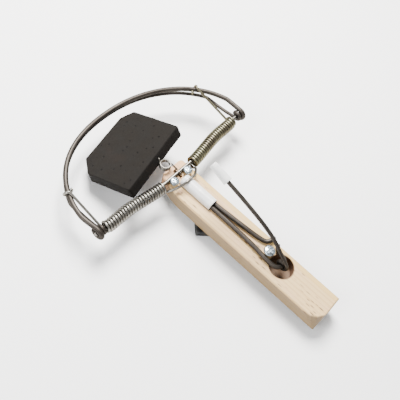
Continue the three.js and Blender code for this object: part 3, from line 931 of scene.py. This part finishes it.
@dataclass(frozen=True)
class FoamFinish:
    """Dense black-brown foam rubber with fine open cells and a few deep pits, whose hollows are painted
    darker as painted shade.
    """

    def make(self) -> bpy.types.Material:
        """Builds the material."""
        finish = Finish("black_foam", 0.92)
        nodes = finish.nodes
        spots = finish.shared("mottle", Vector=finish.place, Blotch_scale=70.0, Speck_scale=1300.0)
        cells = nodes.cells(finish.place, 1500.0)
        open_cells = nodes.ramp(cells, 0.32, 0.1)
        pits = nodes.ramp(nodes.cells(finish.place, 170.0), 0.16, 0.1)
        rust = nodes.noise(finish.place, 28.0, 3.0, 0.6)
        base, light, dark = linear(22, 20, 18), linear(32, 29, 26), linear(4, 3, 3)
        colour = nodes.mix(nodes.sum("MULTIPLY", spots.outputs["Blotch"], 0.35), base, light)
        colour = nodes.mix(nodes.ramp(rust, 0.6, 0.75, 0.0, 0.15), colour, linear(40, 28, 22))
        # open cells and pits painted near black: painted shade in the hollows
        colour = nodes.mix(nodes.sum("MULTIPLY", open_cells, 0.5), colour, dark)
        colour = nodes.mix(nodes.sum("MULTIPLY", pits, 0.95), colour, dark)
        finish.set("Base Color", colour)
        finish.set("Roughness", nodes.ramp(spots.outputs["Blotch"], 0, 1, 0.85, 0.97))
        height = nodes.sum("ADD", open_cells, nodes.sum("MULTIPLY", pits, 3.0))
        finish.set("Normal", nodes.bump(nodes.sum("MULTIPLY", height, -1.0), 0.00022, 0.8))
        finish.set("Specular IOR Level", 0.12)
        return finish.material


@dataclass(frozen=True)
class RubberFinish:
    """Matt black rubber."""

    def make(self) -> bpy.types.Material:
        """Builds the material."""
        finish = Finish("foot_rubber", 0.8)
        nodes = finish.nodes
        spots = finish.shared("mottle", Vector=finish.place, Blotch_scale=150.0, Speck_scale=2000.0)
        colour = nodes.mix(spots.outputs["Blotch"], linear(4, 4, 3), linear(8, 7, 6))
        finish.set("Base Color", colour)
        finish.set("Roughness", nodes.ramp(spots.outputs["Blotch"], 0, 1, 0.7, 0.9))
        finish.set("Normal", nodes.bump(spots.outputs["Speck"], 0.0001, 0.6))
        return finish.material


# ---------------------------------------------------------------- the shop


class Shop:
    """Puts finished meshes in the frame, hangs them on the bodies they ride on and hides the CAD parts they
    stand for.
    """

    def __init__(self) -> None:
        """Finds the design space's origin from the handle's box."""
        low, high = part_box("wooden_handle")
        self.origin = np.array([low[0] + HANDLE_HALF_WIDTH * MM, low[1] + HANDLE_REAR * MM, high[2]])
        self.finishes = {
            Paint.WOOD: WoodFinish(tuple(self.origin)).make(),
            Paint.BOW: WireFinish(
                name="bow_wire",
                base=linear(56, 52, 48),
                tint=linear(36, 32, 29),
                speck=linear(92, 86, 80),
                roughness=(0.38, 0.54),
                metallic=0.75,
                blotch_scale=30.0,
            ).make(),
            Paint.BRIGHT: WireFinish(
                name="bright_wire",
                base=linear(122, 119, 112),
                tint=linear(86, 81, 75),
                speck=linear(168, 165, 158),
                roughness=(0.24, 0.4),
            ).make(),
            Paint.OLIVE: WireFinish(
                name="zinc_wire",
                base=linear(112, 109, 88),
                tint=linear(84, 74, 62),
                speck=linear(150, 148, 126),
                roughness=(0.26, 0.42),
            ).make(),
            Paint.SCREW: WireFinish(
                name="zinc_screw",
                base=linear(170, 182, 190),
                tint=linear(138, 152, 160),
                speck=linear(206, 214, 220),
                roughness=(0.22, 0.36),
                blotch_scale=300.0,
            ).make(),
            Paint.PLASTIC: PlasticFinish(
                name="white_plastic", base=linear(226, 225, 222), scuff_and_shade=linear(140, 148, 160)
            ).make(),
            Paint.FOAM: FoamFinish().make(),
            Paint.RUBBER: RubberFinish().make(),
        }

    def place(self, points: Sequence[float]) -> Vector:
        """A design-space point in millimetres as a frame point in metres."""
        return Vector(self.origin + np.asarray(points, float) * MM)

    def fit(
        self,
        name: str,
        mesh: bpy.types.Mesh,
        finish: Paint,
        stands_for: Iterable[str],
        body: Optional[Body] = None,
    ) -> bpy.types.Object:
        """Makes the object of a mesh in design space.

        Args:
            name: The piece's name.
            mesh: Its mesh, in metres from the design space's origin.
            finish: Its finish.
            stands_for: CAD nodes that it replaces.
            body: Body that it rides on, or None for none.

        Returns:
            The object.
        """
        mesh.transform(Matrix.Translation(Vector(self.origin)))
        mesh.materials.clear()
        mesh.materials.append(self.finishes[finish])
        piece = bpy.data.objects.new(name, mesh)
        bpy.context.scene.collection.objects.link(piece)
        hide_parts(*stands_for)
        if body is not None:
            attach(piece, body.value)
        LOG.info("%s: %d faces, %s", name, len(mesh.polygons), finish.value)
        return piece


# ---------------------------------------------------------------- sub-assemblies


@dataclass
class Crossbar:
    """The bent rod that carries the springs and bows."""

    half_length: float = 102.3
    shift: float = 2.8
    journal_start: float = 68.0
    clamped_half: float = 16.0

    def centre_y(self, x: Array) -> Array:
        """Its Y at x: CLAMP_Y * (3 u^2 - 2 u^3), where u falls from 1 at the clamp to 0 at the journals."""
        u = np.clip((self.journal_start - np.abs(x)) / (self.journal_start - self.clamped_half), 0, 1)
        return CLAMP_Y * u * u * (3 - 2 * u)

    def build(self, shop: Shop) -> None:
        """Builds the rod.

        Args:
            shop: Takes the finished meshes.
        """
        x = np.linspace(self.shift - self.half_length, self.shift + self.half_length, 120)
        path = np.stack([x, self.centre_y(x), np.full_like(x, HINGE_Z)], axis=1)
        mesh = sweep(path, CROSSBAR_RADIUS, 24).mesh("crossbar")
        shop.fit("crossbar", mesh, Paint.BRIGHT, ["crossbar_rod"], Body.HANDLE)


@dataclass(frozen=True)
class BowSize:
    """Sizes of one bow.

    Attributes:
        radius: The wire's radius.
        eye_x: Distance of each eye from the bows' middle.
        eye_radius: Radius of the eyes' centre line.
        side: 1 for wire that leaves its eyes at the top, -1 at the bottom.
        bend: How far the wire comes towards the hinge plane at the front.
        end_angle: Degrees at which the outline hands over to the lead-in of an eye.
        clear: Distance from the hinge axis at which the wire starts to move outwards.
    """

    radius: float
    eye_x: float
    eye_radius: float
    side: int
    bend: float
    end_angle: float
    clear: float

    def height(self, share: Array) -> Array:
        """The wire's height at a share of the bows' depth."""
        return HINGE_Z + self.side * (self.eye_radius - self.bend * share**2)


@dataclass
class Bows:
    """The fixed bow and the striker bow, each bent from one wire with an eye at both ends."""

    half_width: float = 101.6
    depth: float = 85.2
    power: float = 2.15
    shift: float = 2.8
    lean: float = 8.5
    lean_power: float = 1.5
    eye_arc: float = 262.0
    striker: BowSize = BowSize(
        radius=2.4, eye_x=99.0, eye_radius=5.1, side=1, bend=3.6, end_angle=11.0, clear=6.0
    )
    fixed: BowSize = BowSize(
        radius=1.8, eye_x=94.4, eye_radius=4.1, side=-1, bend=1.0, end_angle=24.0, clear=10.5
    )

    def shift_at(self, y: Array) -> Array:
        """How far along X the outline is moved at y."""
        return self.shift - self.lean * np.clip(y / self.depth, 0, None) ** self.lean_power

    def striker_at(self, side: int, y: float) -> Array:
        """The striker's centre line at y, on the left (-1) or right (1)."""
        x = self.half_width * (1 - (y / self.depth) ** self.power) ** (1 / self.power)
        return np.array([side * x + self.shift_at(y), y, self.striker.height(y / self.depth)])

    def path(self, bow: BowSize) -> Array:
        """Centre line of a bow: eye, lead-in, outline, lead-in, eye.

        The outline is the super-ellipse |x / half_width| ^ power + (y / depth) ^ power = 1, moved
        along X by shift_at(y).

        Args:
            bow: The bow's sizes.

        Returns:
            The path.
        """
        angle = np.radians(np.linspace(180 - bow.end_angle, bow.end_angle, 150))
        y = self.depth * np.sin(angle) ** (2 / self.power)
        x = self.half_width * np.sign(np.cos(angle)) * np.abs(np.cos(angle)) ** (2 / self.power)
        outline = np.stack([x + self.shift_at(y), y, bow.height(y / self.depth)], axis=1)

        def lead_in(end: Array, eye: float) -> Array:
            """Three points from an eye to the outline's end.

            Args:
                end: The outline's end.
                eye: The eye's X.

            Returns:
                The points.
            """
            half_way = (bow.clear + end[1]) / 2
            rows = [(0.0, bow.clear * 0.5), (0.35, bow.clear), (0.8, half_way)]
            return np.array([[eye + (end[0] - eye) * s, at, bow.height(at / self.depth)] for s, at in rows])

        left, right = self.shift - bow.eye_x, self.shift + bow.eye_x
        turn_from, turn_to = bow.side * (90 + self.eye_arc), bow.side * 90
        eyes = [arc((x, 0, HINGE_Z), bow.eye_radius, turn_from, turn_to, 40, Plane.YZ) for x in (left, right)]
        leads = [lead_in(outline[0], left), lead_in(outline[-1], right)[::-1]]
        whole = np.vstack([eyes[0], leads[0], outline, leads[1], eyes[1][::-1]])
        return softened(even(whole, 1.1), 3)

    def build(self, shop: Shop) -> None:
        """Builds both bows.

        Args:
            shop: Takes the finished meshes.
        """
        rows = (
            ("fixed_bow", self.fixed, "fixed_jaw_bow", Body.HANDLE),
            ("striker", self.striker, "striker_bow", Body.STRIKER),
        )
        for name, bow, node, body in rows:
            path = self.path(bow)
            mesh = sweep(path, bow.radius, 22, 1 + 0.012 * ripple(path, 40, 3)).mesh(name)
            shop.fit(name, mesh, Paint.BOW, [node], body)


@dataclass
class Springs:
    """Two torsion springs: the left wire starts with the loop between them, and both end in a hook."""

    crossbar: Crossbar
    bows: Bows
    wire: float = 1.22
    radius: float = 5.05
    back: float = 1.4
    sag: float = 0.7
    turns: int = 23
    start: float = 20.5
    end: float = 85.6
    loop_depth: float = 19.8
    loop_apex: float = -2.5
    hook_left_y: float = 42.0
    hook_right_y: float = 47.5
    hook_pitch: float = 4.0
    hook_start: float = 100.0
    hook_turn: float = 300.0

    def coil(self, side: int) -> Array:
        """The coil and its last turn: a helix about the bent crossbar, hanging slack by back and sag.

        Args:
            side: -1 for the left, 1 for the right.

        Returns:
            The centre line.
        """
        ring_x = self.end + 2 * self.wire + 0.5
        turns = np.linspace(0, self.turns + 1, (self.turns + 1) * 26 + 1)
        x = np.where(
            turns <= self.turns,
            self.start + (self.end - self.start) * turns / self.turns,
            self.end + (ring_x - self.end) * (turns - self.turns),
        )
        angle = 2 * math.pi * turns - math.pi / 2
        loose = np.clip(self.turns + 1 - turns, 0, 1.5) / 1.5
        y = self.crossbar.centre_y(x) - self.back * loose + self.radius * np.cos(angle)
        z = HINGE_Z - self.sag * loose + self.radius * np.sin(angle)
        return np.stack([side * x, y, z], axis=1)

    def arm(self, side: int, start: Array) -> Array:
        """The straight arm and its hook, which winds round the striker while it advances along it.

        Args:
            side: -1 for the left, 1 for the right.
            start: End of the coil.

        Returns:
            The centre line.
        """
        reach = self.bows.striker.radius + GAP + self.wire
        hook_y = self.hook_left_y if side < 0 else self.hook_right_y
        centre = self.bows.striker_at(side, hook_y)
        along = self.bows.striker_at(side, hook_y + 1) - centre
        along /= np.linalg.norm(along)
        outward = np.array([side * along[1], -side * along[0], 0.0])
        outward /= np.linalg.norm(outward)
        share = np.linspace(0, 1, 44)[:, None]
        angle = np.radians(self.hook_start - self.hook_turn * share)
        hook = centre + outward * reach * np.cos(angle) + along * self.hook_pitch * share
        hook = hook + np.array([0, 0, 1.0]) * reach * np.sin(angle)
        straight = start + (hook[0] - start) * np.linspace(0.03, 0.97, 40)[:, None]
        tail = hook[-1] + (hook[-1] - hook[-2]) / np.linalg.norm(hook[-1] - hook[-2]) * 0.8
        return np.vstack([straight, hook, tail])

    def loop(self) -> Array:
        """The loop over the sleeve, from the right coil's first turn to the left coil's."""
        bottom = HINGE_Z - self.sag - self.radius
        top = ANCHOR_Z + SLEEVE_RADIUS + GAP + self.wire
        right = [
            (self.start - 0.2, CLAMP_Y - 1.0, bottom),
            (self.start - 0.6, CLAMP_Y - 4.4, bottom + 0.7),
            (self.start - 2.2, CLAMP_Y - 7.8, GAP + 1.3),
            (self.start - 7, self.loop_depth * -0.83, GAP + 4.2),
            (self.start - 13, self.loop_depth * -0.97, top - 1.5),
        ]
        left = [
            (-self.start + 13, self.loop_depth * -0.97, top - 1.5),
            (-self.start + 6, self.loop_depth * -0.83, GAP + 4.2),
            (-self.start + 1.4, CLAMP_Y - 7.8, GAP + 1.3),
            (-self.start + 0.3, CLAMP_Y - 4.4, bottom + 0.6),
        ]
        return np.array([*right, (self.loop_apex, -self.loop_depth, top), *left])

    def build(self, shop: Shop) -> None:
        """Builds both springs.

        Args:
            shop: Takes the finished meshes.
        """
        for side, word, finish in ((-1, "left", Paint.BRIGHT), (1, "right", Paint.OLIVE)):
            coil = self.coil(side)
            arm = self.arm(side, coil[-1])
            lead = flowing(np.vstack([self.loop(), coil[:2]]), 0.9)[:-3] if side < 0 else coil[:0]
            path = softened(np.vstack([lead, coil, arm]), 1)
            names = [f"spring_coil_{word}", f"spring_arm_{word}"]
            if side < 0:
                names.append("spring_center_loop")
            mesh = sweep(path, self.wire, 12).mesh(f"{word}_spring")
            piece = shop.fit(f"{word}_spring", mesh, finish, names)
            start = shop.place((side * self.crossbar.journal_start, 0, HINGE_Z))
            end = shop.place((side * self.end, 0, HINGE_Z))
            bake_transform(piece)


@dataclass(frozen=True)
class ScrewSize:
    """Sizes of a pan-head screw.

    Attributes:
        shank: Radius of the shank.
        head: Radius of the head.
        height: Height of the head.
        length: Length below the head.
        pitch: Rise of the thread in one turn.
    """

    shank: float
    head: float
    height: float
    length: float = 13.0
    pitch: float = 1.3


@dataclass
class Screws:
    """The two screws that clamp the crossbar and the one that holds the anchor wire."""

    front: ScrewSize = ScrewSize(1.7, 4.4, 2.6)
    rear: ScrewSize = ScrewSize(2.1, 5.4, 2.8)
    front_x: float = 9.3
    stand_off: float = 1.5

    @staticmethod
    def surface(size: ScrewSize, turn: float) -> Surface:
        """A screw with a domed head, a cross recess and a thread.

        The head's top is height - sink, where sink is the recess's depth times a smooth step inside a
        cross whose arms narrow with depth. The thread's radius follows a helix.

        Args:
            size: The screw's sizes.
            turn: Angle of the cross in degrees.

        Returns:
            The surface, with the head's underside at z = 0.
        """
        share = np.linspace(0.01, 1, 34)
        top = np.stack([size.head * 0.86 * share, size.height * (1 - 0.3 * share**2.4)], axis=1)
        rim = [(size.head * a, size.height * b) for a, b in ((0.95, 0.52), (1, 0.3), (1, 0.08))]
        under = [(size.head * 0.97, 0), (size.shank * 1.05, 0), (size.shank, -0.4)]
        point = 3 - size.length
        shank = np.stack([np.full(120, size.shank), np.linspace(-0.6, point, 120)], axis=1)
        tip = np.stack([np.linspace(size.shank, 0.15, 24), np.linspace(point, -size.length, 24)], axis=1)
        profile = np.vstack([top, rim, under, shank, tip[1:]])

        def shape(radius: Array, angle: Array, height: Array) -> tuple:
            """Sinks the cross and cuts the thread.

            Args:
                radius: Distance from the axis.
                angle: Angle round the axis.
                height: Height.

            Returns:
                The new radius and height.
            """
            bearing = angle + math.radians(turn)
            x, y = radius * np.cos(bearing), radius * np.sin(bearing)
            arm, half = size.head * 0.56, size.head * 0.13
            slot = np.minimum(np.abs(x), np.abs(y))
            inside = np.clip((half - slot) / 0.16 + 0.5, 0, 1) * np.clip((arm - radius) / 0.3 + 0.5, 0, 1)
            core = np.clip((half * 1.9 - radius) / 0.2 + 0.5, 0, 1)
            head = height > size.height * 0.6
            sunk = np.where(head, np.maximum(inside, core) * (1.0 + 0.5 * (1 - radius / size.head)), 0.0)
            wave = (height / size.pitch + angle / (2 * math.pi)) % 1
            crest = np.clip(1 - np.abs(wave - 0.5) / 0.22, 0, 1) * 0.3
            cut = (height < -1.5) & (radius > 0.4)
            return np.where(cut, radius - 0.3 + crest, radius), height - sunk

        return turned(profile, 96, shape)

    def build(self, shop: Shop) -> None:
        """Builds the three screws.

        Args:
            shop: Takes the finished meshes.
        """
        front_y = CLAMP_Y - CROSSBAR_RADIUS - self.front.shank - self.stand_off
        seat = HINGE_Z + CROSSBAR_RADIUS + GAP
        rows = (
            ("front_screw_left", self.front, (-self.front_x, front_y, seat), 28),
            ("front_screw_right", self.front, (self.front_x, front_y, seat), 61),
            ("rear_screw", self.rear, ANCHOR_SCREW, 12),
        )
        for node, size, spot, turn in rows:
            mesh = self.surface(size, turn).mesh(f"{node}_body")
            mesh.transform(Matrix.Translation(Vector(spot) * MM))
            shop.fit(f"{node}_body", mesh, Paint.SCREW, [node], Body.HANDLE)


@dataclass
class Anchor:
    """The hairpin wire under the rear screw, and the white sleeve over its front."""

    radius: float = 2.2
    strand_half: float = 2.5
    sleeve_front: float = -14.0
    sleeve_length: float = 37.0
    bend_x: float = 1.7
    bend_radius: float = 7.0

    def path(self) -> Array:
        """Right-hand tip, forward to the sleeve, round, back to the bend in the hole, up to the left tip."""
        z, s = ANCHOR_Z, ANCHOR_SCREW[1]
        sleeve_rear = self.sleeve_front - self.sleeve_length
        front_y = self.sleeve_front - self.strand_half - self.radius - 1
        right = flowing(
            [(17.2, s + 5.5, z + 2.4), (12.5, s + 5.6, z + 1.2), (8.4, s + 8.8, z), (6.4, s + 18, z),
             (4.2, s + 40, z), (self.strand_half, sleeve_rear - 3, z)], 1.0)
        front = arc((0, front_y, z), self.strand_half, 0, 180, 16, Plane.XY)
        rear_y = HOLE_Y + self.bend_radius
        left = flowing(
            [(-self.strand_half, sleeve_rear - 3, z), (-2.7, s + 40, z), (-3.4, s + 14, z), (-4.9, s, z),
             (self.bend_x - self.bend_radius, rear_y + 2, z)], 1.0)
        rear = arc((self.bend_x, rear_y, z), self.bend_radius, 180, 360, 26, Plane.XY)
        tip = flowing([rear[-1], (9.6, rear_y + 4.5, z + 0.6), (13.6, rear_y + 9, z + 2.4)], 1.0)[1:]
        return softened(even(np.vstack([right, front, left, rear, tip]), 1.0), 2)

    def build(self, shop: Shop) -> None:
        """Builds the wire and the sleeve.

        Args:
            shop: Takes the finished meshes.
        """
        path = self.path()
        mesh = sweep(path, self.radius, 20, 1 + 0.012 * ripple(path, 30, 8)).mesh("anchor")
        shop.fit("anchor", mesh, Paint.BOW, ["anchor_wire"], Body.HANDLE)
        bore = self.strand_half + self.radius + GAP
        end = self.sleeve_length
        middle = (bore, end * 0.5)
        corners = [middle, (bore, 0), (SLEEVE_RADIUS, 0), (SLEEVE_RADIUS, end), (bore, end)]
        profile = rounded_profile([*corners, (bore, end * 0.5 + 0.01)], 0.55)
        mesh = self.tube(profile)
        rear = self.sleeve_front - self.sleeve_length
        mesh.transform(Matrix.Translation(Vector((0, rear, ANCHOR_Z)) * MM))
        shop.fit("sleeve", mesh, Paint.PLASTIC, ["anchor_sleeve"], Body.HANDLE)

    def tube(self, profile: Array) -> bpy.types.Mesh:
        """The profile turned about Y into a closed tube, with slight dents.

        Args:
            profile: Points (radius, distance along Y) that close on themselves.

        Returns:
            The mesh.
        """
        fine = even(np.hstack([profile, np.zeros((len(profile), 1))]), 0.9)[:, :2]
        steps = 64
        turn = np.linspace(0, 2 * math.pi, steps, endpoint=False)
        radius = np.repeat(fine[:, :1], steps, axis=1)
        y = np.repeat(fine[:, 1:], steps, axis=1)
        grid = np.stack([radius * np.cos(turn), y, -radius * np.sin(turn)], axis=-1)
        grid *= 1 + 0.006 * ripple(grid, 14, 21)[..., None] * np.array([1.0, 0.0, 1.0])
        return ring_mesh(grid, "sleeve")


def ring_mesh(grid: Array, name: str) -> bpy.types.Mesh:
    """A grid that closes on itself both ways, as a tube's wall does, as a mesh in metres.

    Args:
        grid: Rows by columns by 3, in millimetres; the last row meets the first.
        name: Name of the mesh.

    Returns:
        The mesh, with its faces outwards.
    """
    rows, columns = grid.shape[:2]
    r, c = np.meshgrid(np.arange(rows), np.arange(columns), indexing="ij")
    down, on = (r + 1) % rows, (c + 1) % columns
    here, below = r * columns, down * columns
    quads = np.stack([here + c, here + on, below + on, below + c], axis=-1)
    made = bpy.data.meshes.new(name)
    made.from_pydata((grid.reshape(-1, 3) * MM).tolist(), [], quads.reshape(-1, 4).tolist())
    made.polygons.foreach_set("use_smooth", np.ones(rows * columns, bool))
    made.update()
    if signed_volume(made) < 0:
        made.flip_normals()
    return made


@dataclass
class Latch:
    """The rod that holds the striker open, with its eye round the anchor's bend, and its cap."""

    x: float = 1.5
    radius: float = 1.9
    eye_radius: float = 4.6
    leave: float = 137.0
    cap_length: float = 20.0
    cap_rear: float = 4.4
    cap_front: float = 3.4
    cap_covers: float = 12.0

    def rod(self) -> Array:
        """The rod's centre line, from its eye to the point where the cap starts."""
        eye = arc((self.x, HOLE_Y, ANCHOR_Z), self.eye_radius, self.leave + 325, self.leave, 44, Plane.YZ)
        offsets = [(9, 14), (16.5, 20.5), (26, 26.5), (39, 32), (61, 38.8), (81, 44)]
        knots = [eye[-1], *((self.x, HOLE_Y + dy, ANCHOR_Z + dz) for dy, dz in offsets)]
        return np.vstack([eye[:-1], flowing(knots, 1.2)])

    def build(self, shop: Shop) -> None:
        """Builds the rod and the cap.

        Args:
            shop: Takes the finished meshes.
        """
        rod = self.rod()
        end = rod[-1]
        direction = (end - rod[-3]) / np.linalg.norm(end - rod[-3])
        path = softened(even(np.vstack([rod, end + direction * self.cap_covers]), 1.0), 2)
        mesh = sweep(path, self.radius, 20, 1 + 0.012 * ripple(path, 30, 5)).mesh("latch")
        shop.fit("latch", mesh, Paint.BOW, ["latch_rod"], Body.LATCH)
        bore, length, covered = self.radius + GAP, self.cap_length, self.cap_covers + GAP
        inside = [(0.02, covered), (bore, covered), (bore, 0)]
        outside = [(self.cap_rear, 0), (self.cap_rear, 1.2), (self.cap_front + 0.35, length * 0.82)]
        corners = [*inside, *outside, (self.cap_front, length), (0.02, length)]
        surface = turned(rounded_profile(corners, 0.9), 56)
        surface.grid[..., :2] *= 1 + 0.01 * ripple(surface.grid, 12, 31)[..., None]
        mesh = surface.mesh("cap")
        turn = Vector((0, 0, 1)).rotation_difference(Vector(direction)).to_matrix().to_4x4()
        mesh.transform(Matrix.Translation(Vector(end) * MM) @ turn)
        shop.fit("cap", mesh, Paint.PLASTIC, ["latch_cap"], Body.LATCH)


@dataclass
class Trigger:
    """The foam pad and the thin wire that hangs it from the crossbar."""

    width: float = 84.0
    depth: float = 60.0
    thickness: float = 12.0
    rear_slant: float = 2.0
    rear_edge: tuple = (-9.5, 17.4, 13.6)
    pitch: float = -22.0
    roll: float = -4.0
    yaw: float = 9.8
    wire: float = 0.8
    eye_x: float = 1.6
    eye_radius: float = 3.7
    ring_radius: float = 4.9
    ring_centre: tuple = (-3.1, 7.4, 5.0)
    ring_turns: float = 2.5
    ring_rise: float = 2.0
    tail_x: float = 4.0

    def placement(self) -> Matrix:
        """Turns about Z, then X, then Y, and moves to the middle of the pad's rear top edge."""
        angles = ((self.yaw, "Z"), (self.pitch, "X"), (self.roll, "Y"))
        turns = [Matrix.Rotation(math.radians(angle), 4, axis) for angle, axis in angles]
        return Matrix.Translation(Vector(self.rear_edge)) @ turns[0] @ turns[1] @ turns[2]

    def pad(self) -> bpy.types.Mesh:
        """The foam block: corners cut off at the front, a leaning rear face and a slightly uneven skin."""
        half, depth = self.width / 2, self.depth
        right = [(half, 0), (half, depth - 8), (half - 13, depth)]
        left = [(-half + 14, depth), (-half, depth - 13), (-half, 0)]
        corners = [*right, *left]
        surface = block(polygon(corners, 1.6, 0.9), self.thickness, 0.9, 0.35, 34)
        grid = surface.grid
        low = np.clip(-grid[..., 2] / self.thickness, 0, 1)
        grid[..., 1] -= self.rear_slant * low * np.clip(1 - grid[..., 1] / 20, 0, 1)
        grid += 0.22 * ripple(grid, 22, 12)[..., None] * np.array([0.6, 0.6, 1.0])
        turn = np.array(self.placement())
        surface.grid = grid @ turn[:3, :3].T + turn[:3, 3]
        return surface.mesh("pad")

    def path(self) -> Array:
        """The wire: an eye round the crossbar, a small level coil in front of it, a tail in the pad."""
        eye = arc((self.eye_x, CLAMP_Y, HINGE_Z), self.eye_radius, -240, 60, 40, Plane.YZ)
        share = np.linspace(0, 1, int(self.ring_turns * 36))
        angle = np.radians(320 - self.ring_turns * 360 * share)
        cx, cy, cz = self.ring_centre
        ring = np.stack(
            [cx + self.ring_radius * np.cos(angle), cy + self.ring_radius * np.sin(angle),
             cz + self.ring_rise * self.ring_turns * (0.5 - share)], axis=1)
        place = self.placement()
        tail = [place @ Vector((self.tail_x, at, -self.thickness * 0.55)) for at in (-1.5, 4, 12)]
        return softened(even(np.vstack([eye, ring, tail]), 0.35), 3)

    def build(self, shop: Shop) -> None:
        """Builds the pad and its wire.

        Args:
            shop: Takes the finished meshes.
        """
        pad = shop.fit("pad", self.pad(), Paint.FOAM, ["trigger_pad"], Body.TRIGGER)
        mesh = sweep(self.path(), self.wire, 14).mesh("pad_wire")
        shop.fit("pad_wire", mesh, Paint.BRIGHT, ["trigger_wire"], Body.TRIGGER)


@dataclass
class Handle:
    """The wooden handle and the rubber foot under it."""

    foot_side: float = 28.6
    foot_height: float = 8.0
    foot_centre: tuple = (-1.4, -55.4)
    thickness: float = 17.0

    def build(self, shop: Shop) -> None:
        """Eases the handle's edges and builds the foot, turned by 45 degrees.

        Args:
            shop: Takes the finished meshes.
        """
        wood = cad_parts["wooden_handle"].copy()
        wood.data = wood.data.copy()
        mesh = wood.data
        bpy.data.objects.remove(wood)
        mesh.transform(Matrix.Translation(-Vector(shop.origin)))
        piece = shop.fit("handle_wood", mesh, Paint.WOOD, ["wooden_handle"], Body.HANDLE)
        self.ease(piece)
        half = self.foot_side / 2
        corners = [(half, half), (-half, half), (-half, -half), (half, -half)]
        surface = block(polygon(corners, 2.0, 0.7), self.foot_height, 0.9, 0.0, 16)
        surface.grid += 0.06 * ripple(surface.grid, 10, 17)[..., None] * np.array([1.0, 1.0, 0.0])
        foot = surface.mesh("foot")
        spot = Vector((*self.foot_centre, -self.thickness - GAP)) * MM
        foot.transform(Matrix.Translation(spot) @ Matrix.Rotation(math.radians(45), 4, "Z"))
        shop.fit("foot", foot, Paint.RUBBER, ["rubber_foot"], Body.HANDLE)

    @staticmethod
    def ease(piece: bpy.types.Object) -> None:
        """Merges the wood's loose triangles and rounds its sharp edges.

        Args:
            piece: The wood.
        """
        weld = piece.modifiers.new("weld", "WELD")
        weld.merge_threshold = 0.00001
        bevel = piece.modifiers.new("eased_edges", "BEVEL")
        bevel.width = 0.0005
        bevel.segments = 2
        bevel.limit_method = "ANGLE"
        bevel.angle_limit = math.radians(28)
        bevel.harden_normals = False


# ---------------------------------------------------------------- stage


@dataclass
class Stage:
    """The floor, the lights and the camera."""

    azimuth: float = -69.78
    elevation: float = 58.32
    roll: float = 24.36
    distance: float = 556.86
    target: tuple = (-3.54, -38.43, 0.0)
    lens: float = 54.3
    daylight: float = 0.68
    floor_reach: float = 3.0
    floor_drop: float = 0.0005

    def camera(self, shop: Shop) -> None:
        """Puts the camera on a sphere round the target and rolls it about its own axis.

        Args:
            shop: Turns design space into the frame.
        """
        a, e, r = (math.radians(v) for v in (self.azimuth, self.elevation, self.roll))
        back = Vector((math.sin(a) * math.cos(e), -math.cos(a) * math.cos(e), math.sin(e)))
        level = Vector((0, 0, 1)).cross(back).normalized()
        up = back.cross(level)
        across = level * math.cos(r) + up * math.sin(r)
        upright = up * math.cos(r) - level * math.sin(r)
        turn = Matrix((across, upright, back)).transposed().to_4x4()
        data = bpy.data.cameras.new("camera")
        data.sensor_width = 36.0
        data.lens = self.lens
        camera = bpy.data.objects.new("camera", data)
        camera.matrix_world = Matrix.Translation(shop.place(self.target) + back * self.distance * MM) @ turn
        bpy.context.scene.collection.objects.link(camera)
        bpy.context.scene.camera = camera

    @staticmethod
    def light(name: str, spot: Sequence[float], power: float, colour: Sequence[float]) -> None:
        """One soft square light aimed at the trap's middle.

        Args:
            name: Its name.
            spot: Where it stands, in metres.
            power: Its power in watts.
            colour: Its colour.
        """
        data = bpy.data.lights.new(name, "AREA")
        data.size = 0.5
        data.energy = power
        data.color = colour
        lamp = bpy.data.objects.new(name, data)
        lamp.location = spot
        lamp.rotation_mode = "QUATERNION"
        lamp.rotation_quaternion = (-Vector(spot)).to_track_quat("-Z", "Y")
        bpy.context.scene.collection.objects.link(lamp)

    def build(self, shop: Shop) -> None:
        """Sets the stage.

        Args:
            shop: Takes the finished meshes.
        """
        self.camera(shop)
        self.light("key", (0.35, 0.5, 1.0), 62.0, (1.0, 0.985, 0.96))
        self.light("fill", (-0.9, 0.3, 0.8), 12.0, (0.95, 0.97, 1.0))
        world = bpy.data.worlds.new("studio")
        world.use_nodes = True
        sky = world.node_tree.nodes["Background"]
        sky.inputs["Color"].default_value = (1, 1, 1, 1)
        sky.inputs["Strength"].default_value = self.daylight
        bpy.context.scene.world = world
        self.floor()

    def floor(self) -> None:
        """Lays a white floor just under the trap."""
        mesh = bpy.data.meshes.new("floor")
        reach = self.floor_reach
        corners = [(-reach, -reach, 0), (reach, -reach, 0), (reach, reach, 0), (-reach, reach, 0)]
        mesh.from_pydata(corners, [], [(0, 1, 2, 3)])
        floor = bpy.data.objects.new("floor", mesh)
        floor.location = (0, 0, -self.floor_drop)
        finish = Finish("floor_paint", 0.9)
        finish.set("Base Color", (0.98, 0.98, 0.98, 1))
        mesh.materials.append(finish.material)
        bpy.context.scene.collection.objects.link(floor)


def main() -> None:
    """Builds the trap, sub-assembly by sub-assembly, and its stage."""
    logging.basicConfig(level=logging.INFO, format="%(name)s %(message)s")
    shop = Shop()
    crossbar = Crossbar()
    bows = Bows()
    Stage().build(shop)
    springs = Springs(crossbar, bows)
    for assembly in (Handle(), crossbar, bows, springs, Screws(), Anchor(), Latch(), Trigger()):
        assembly.build(shop)
        LOG.info("%s done", type(assembly).__name__)


if __name__ == "__main__":
    main()
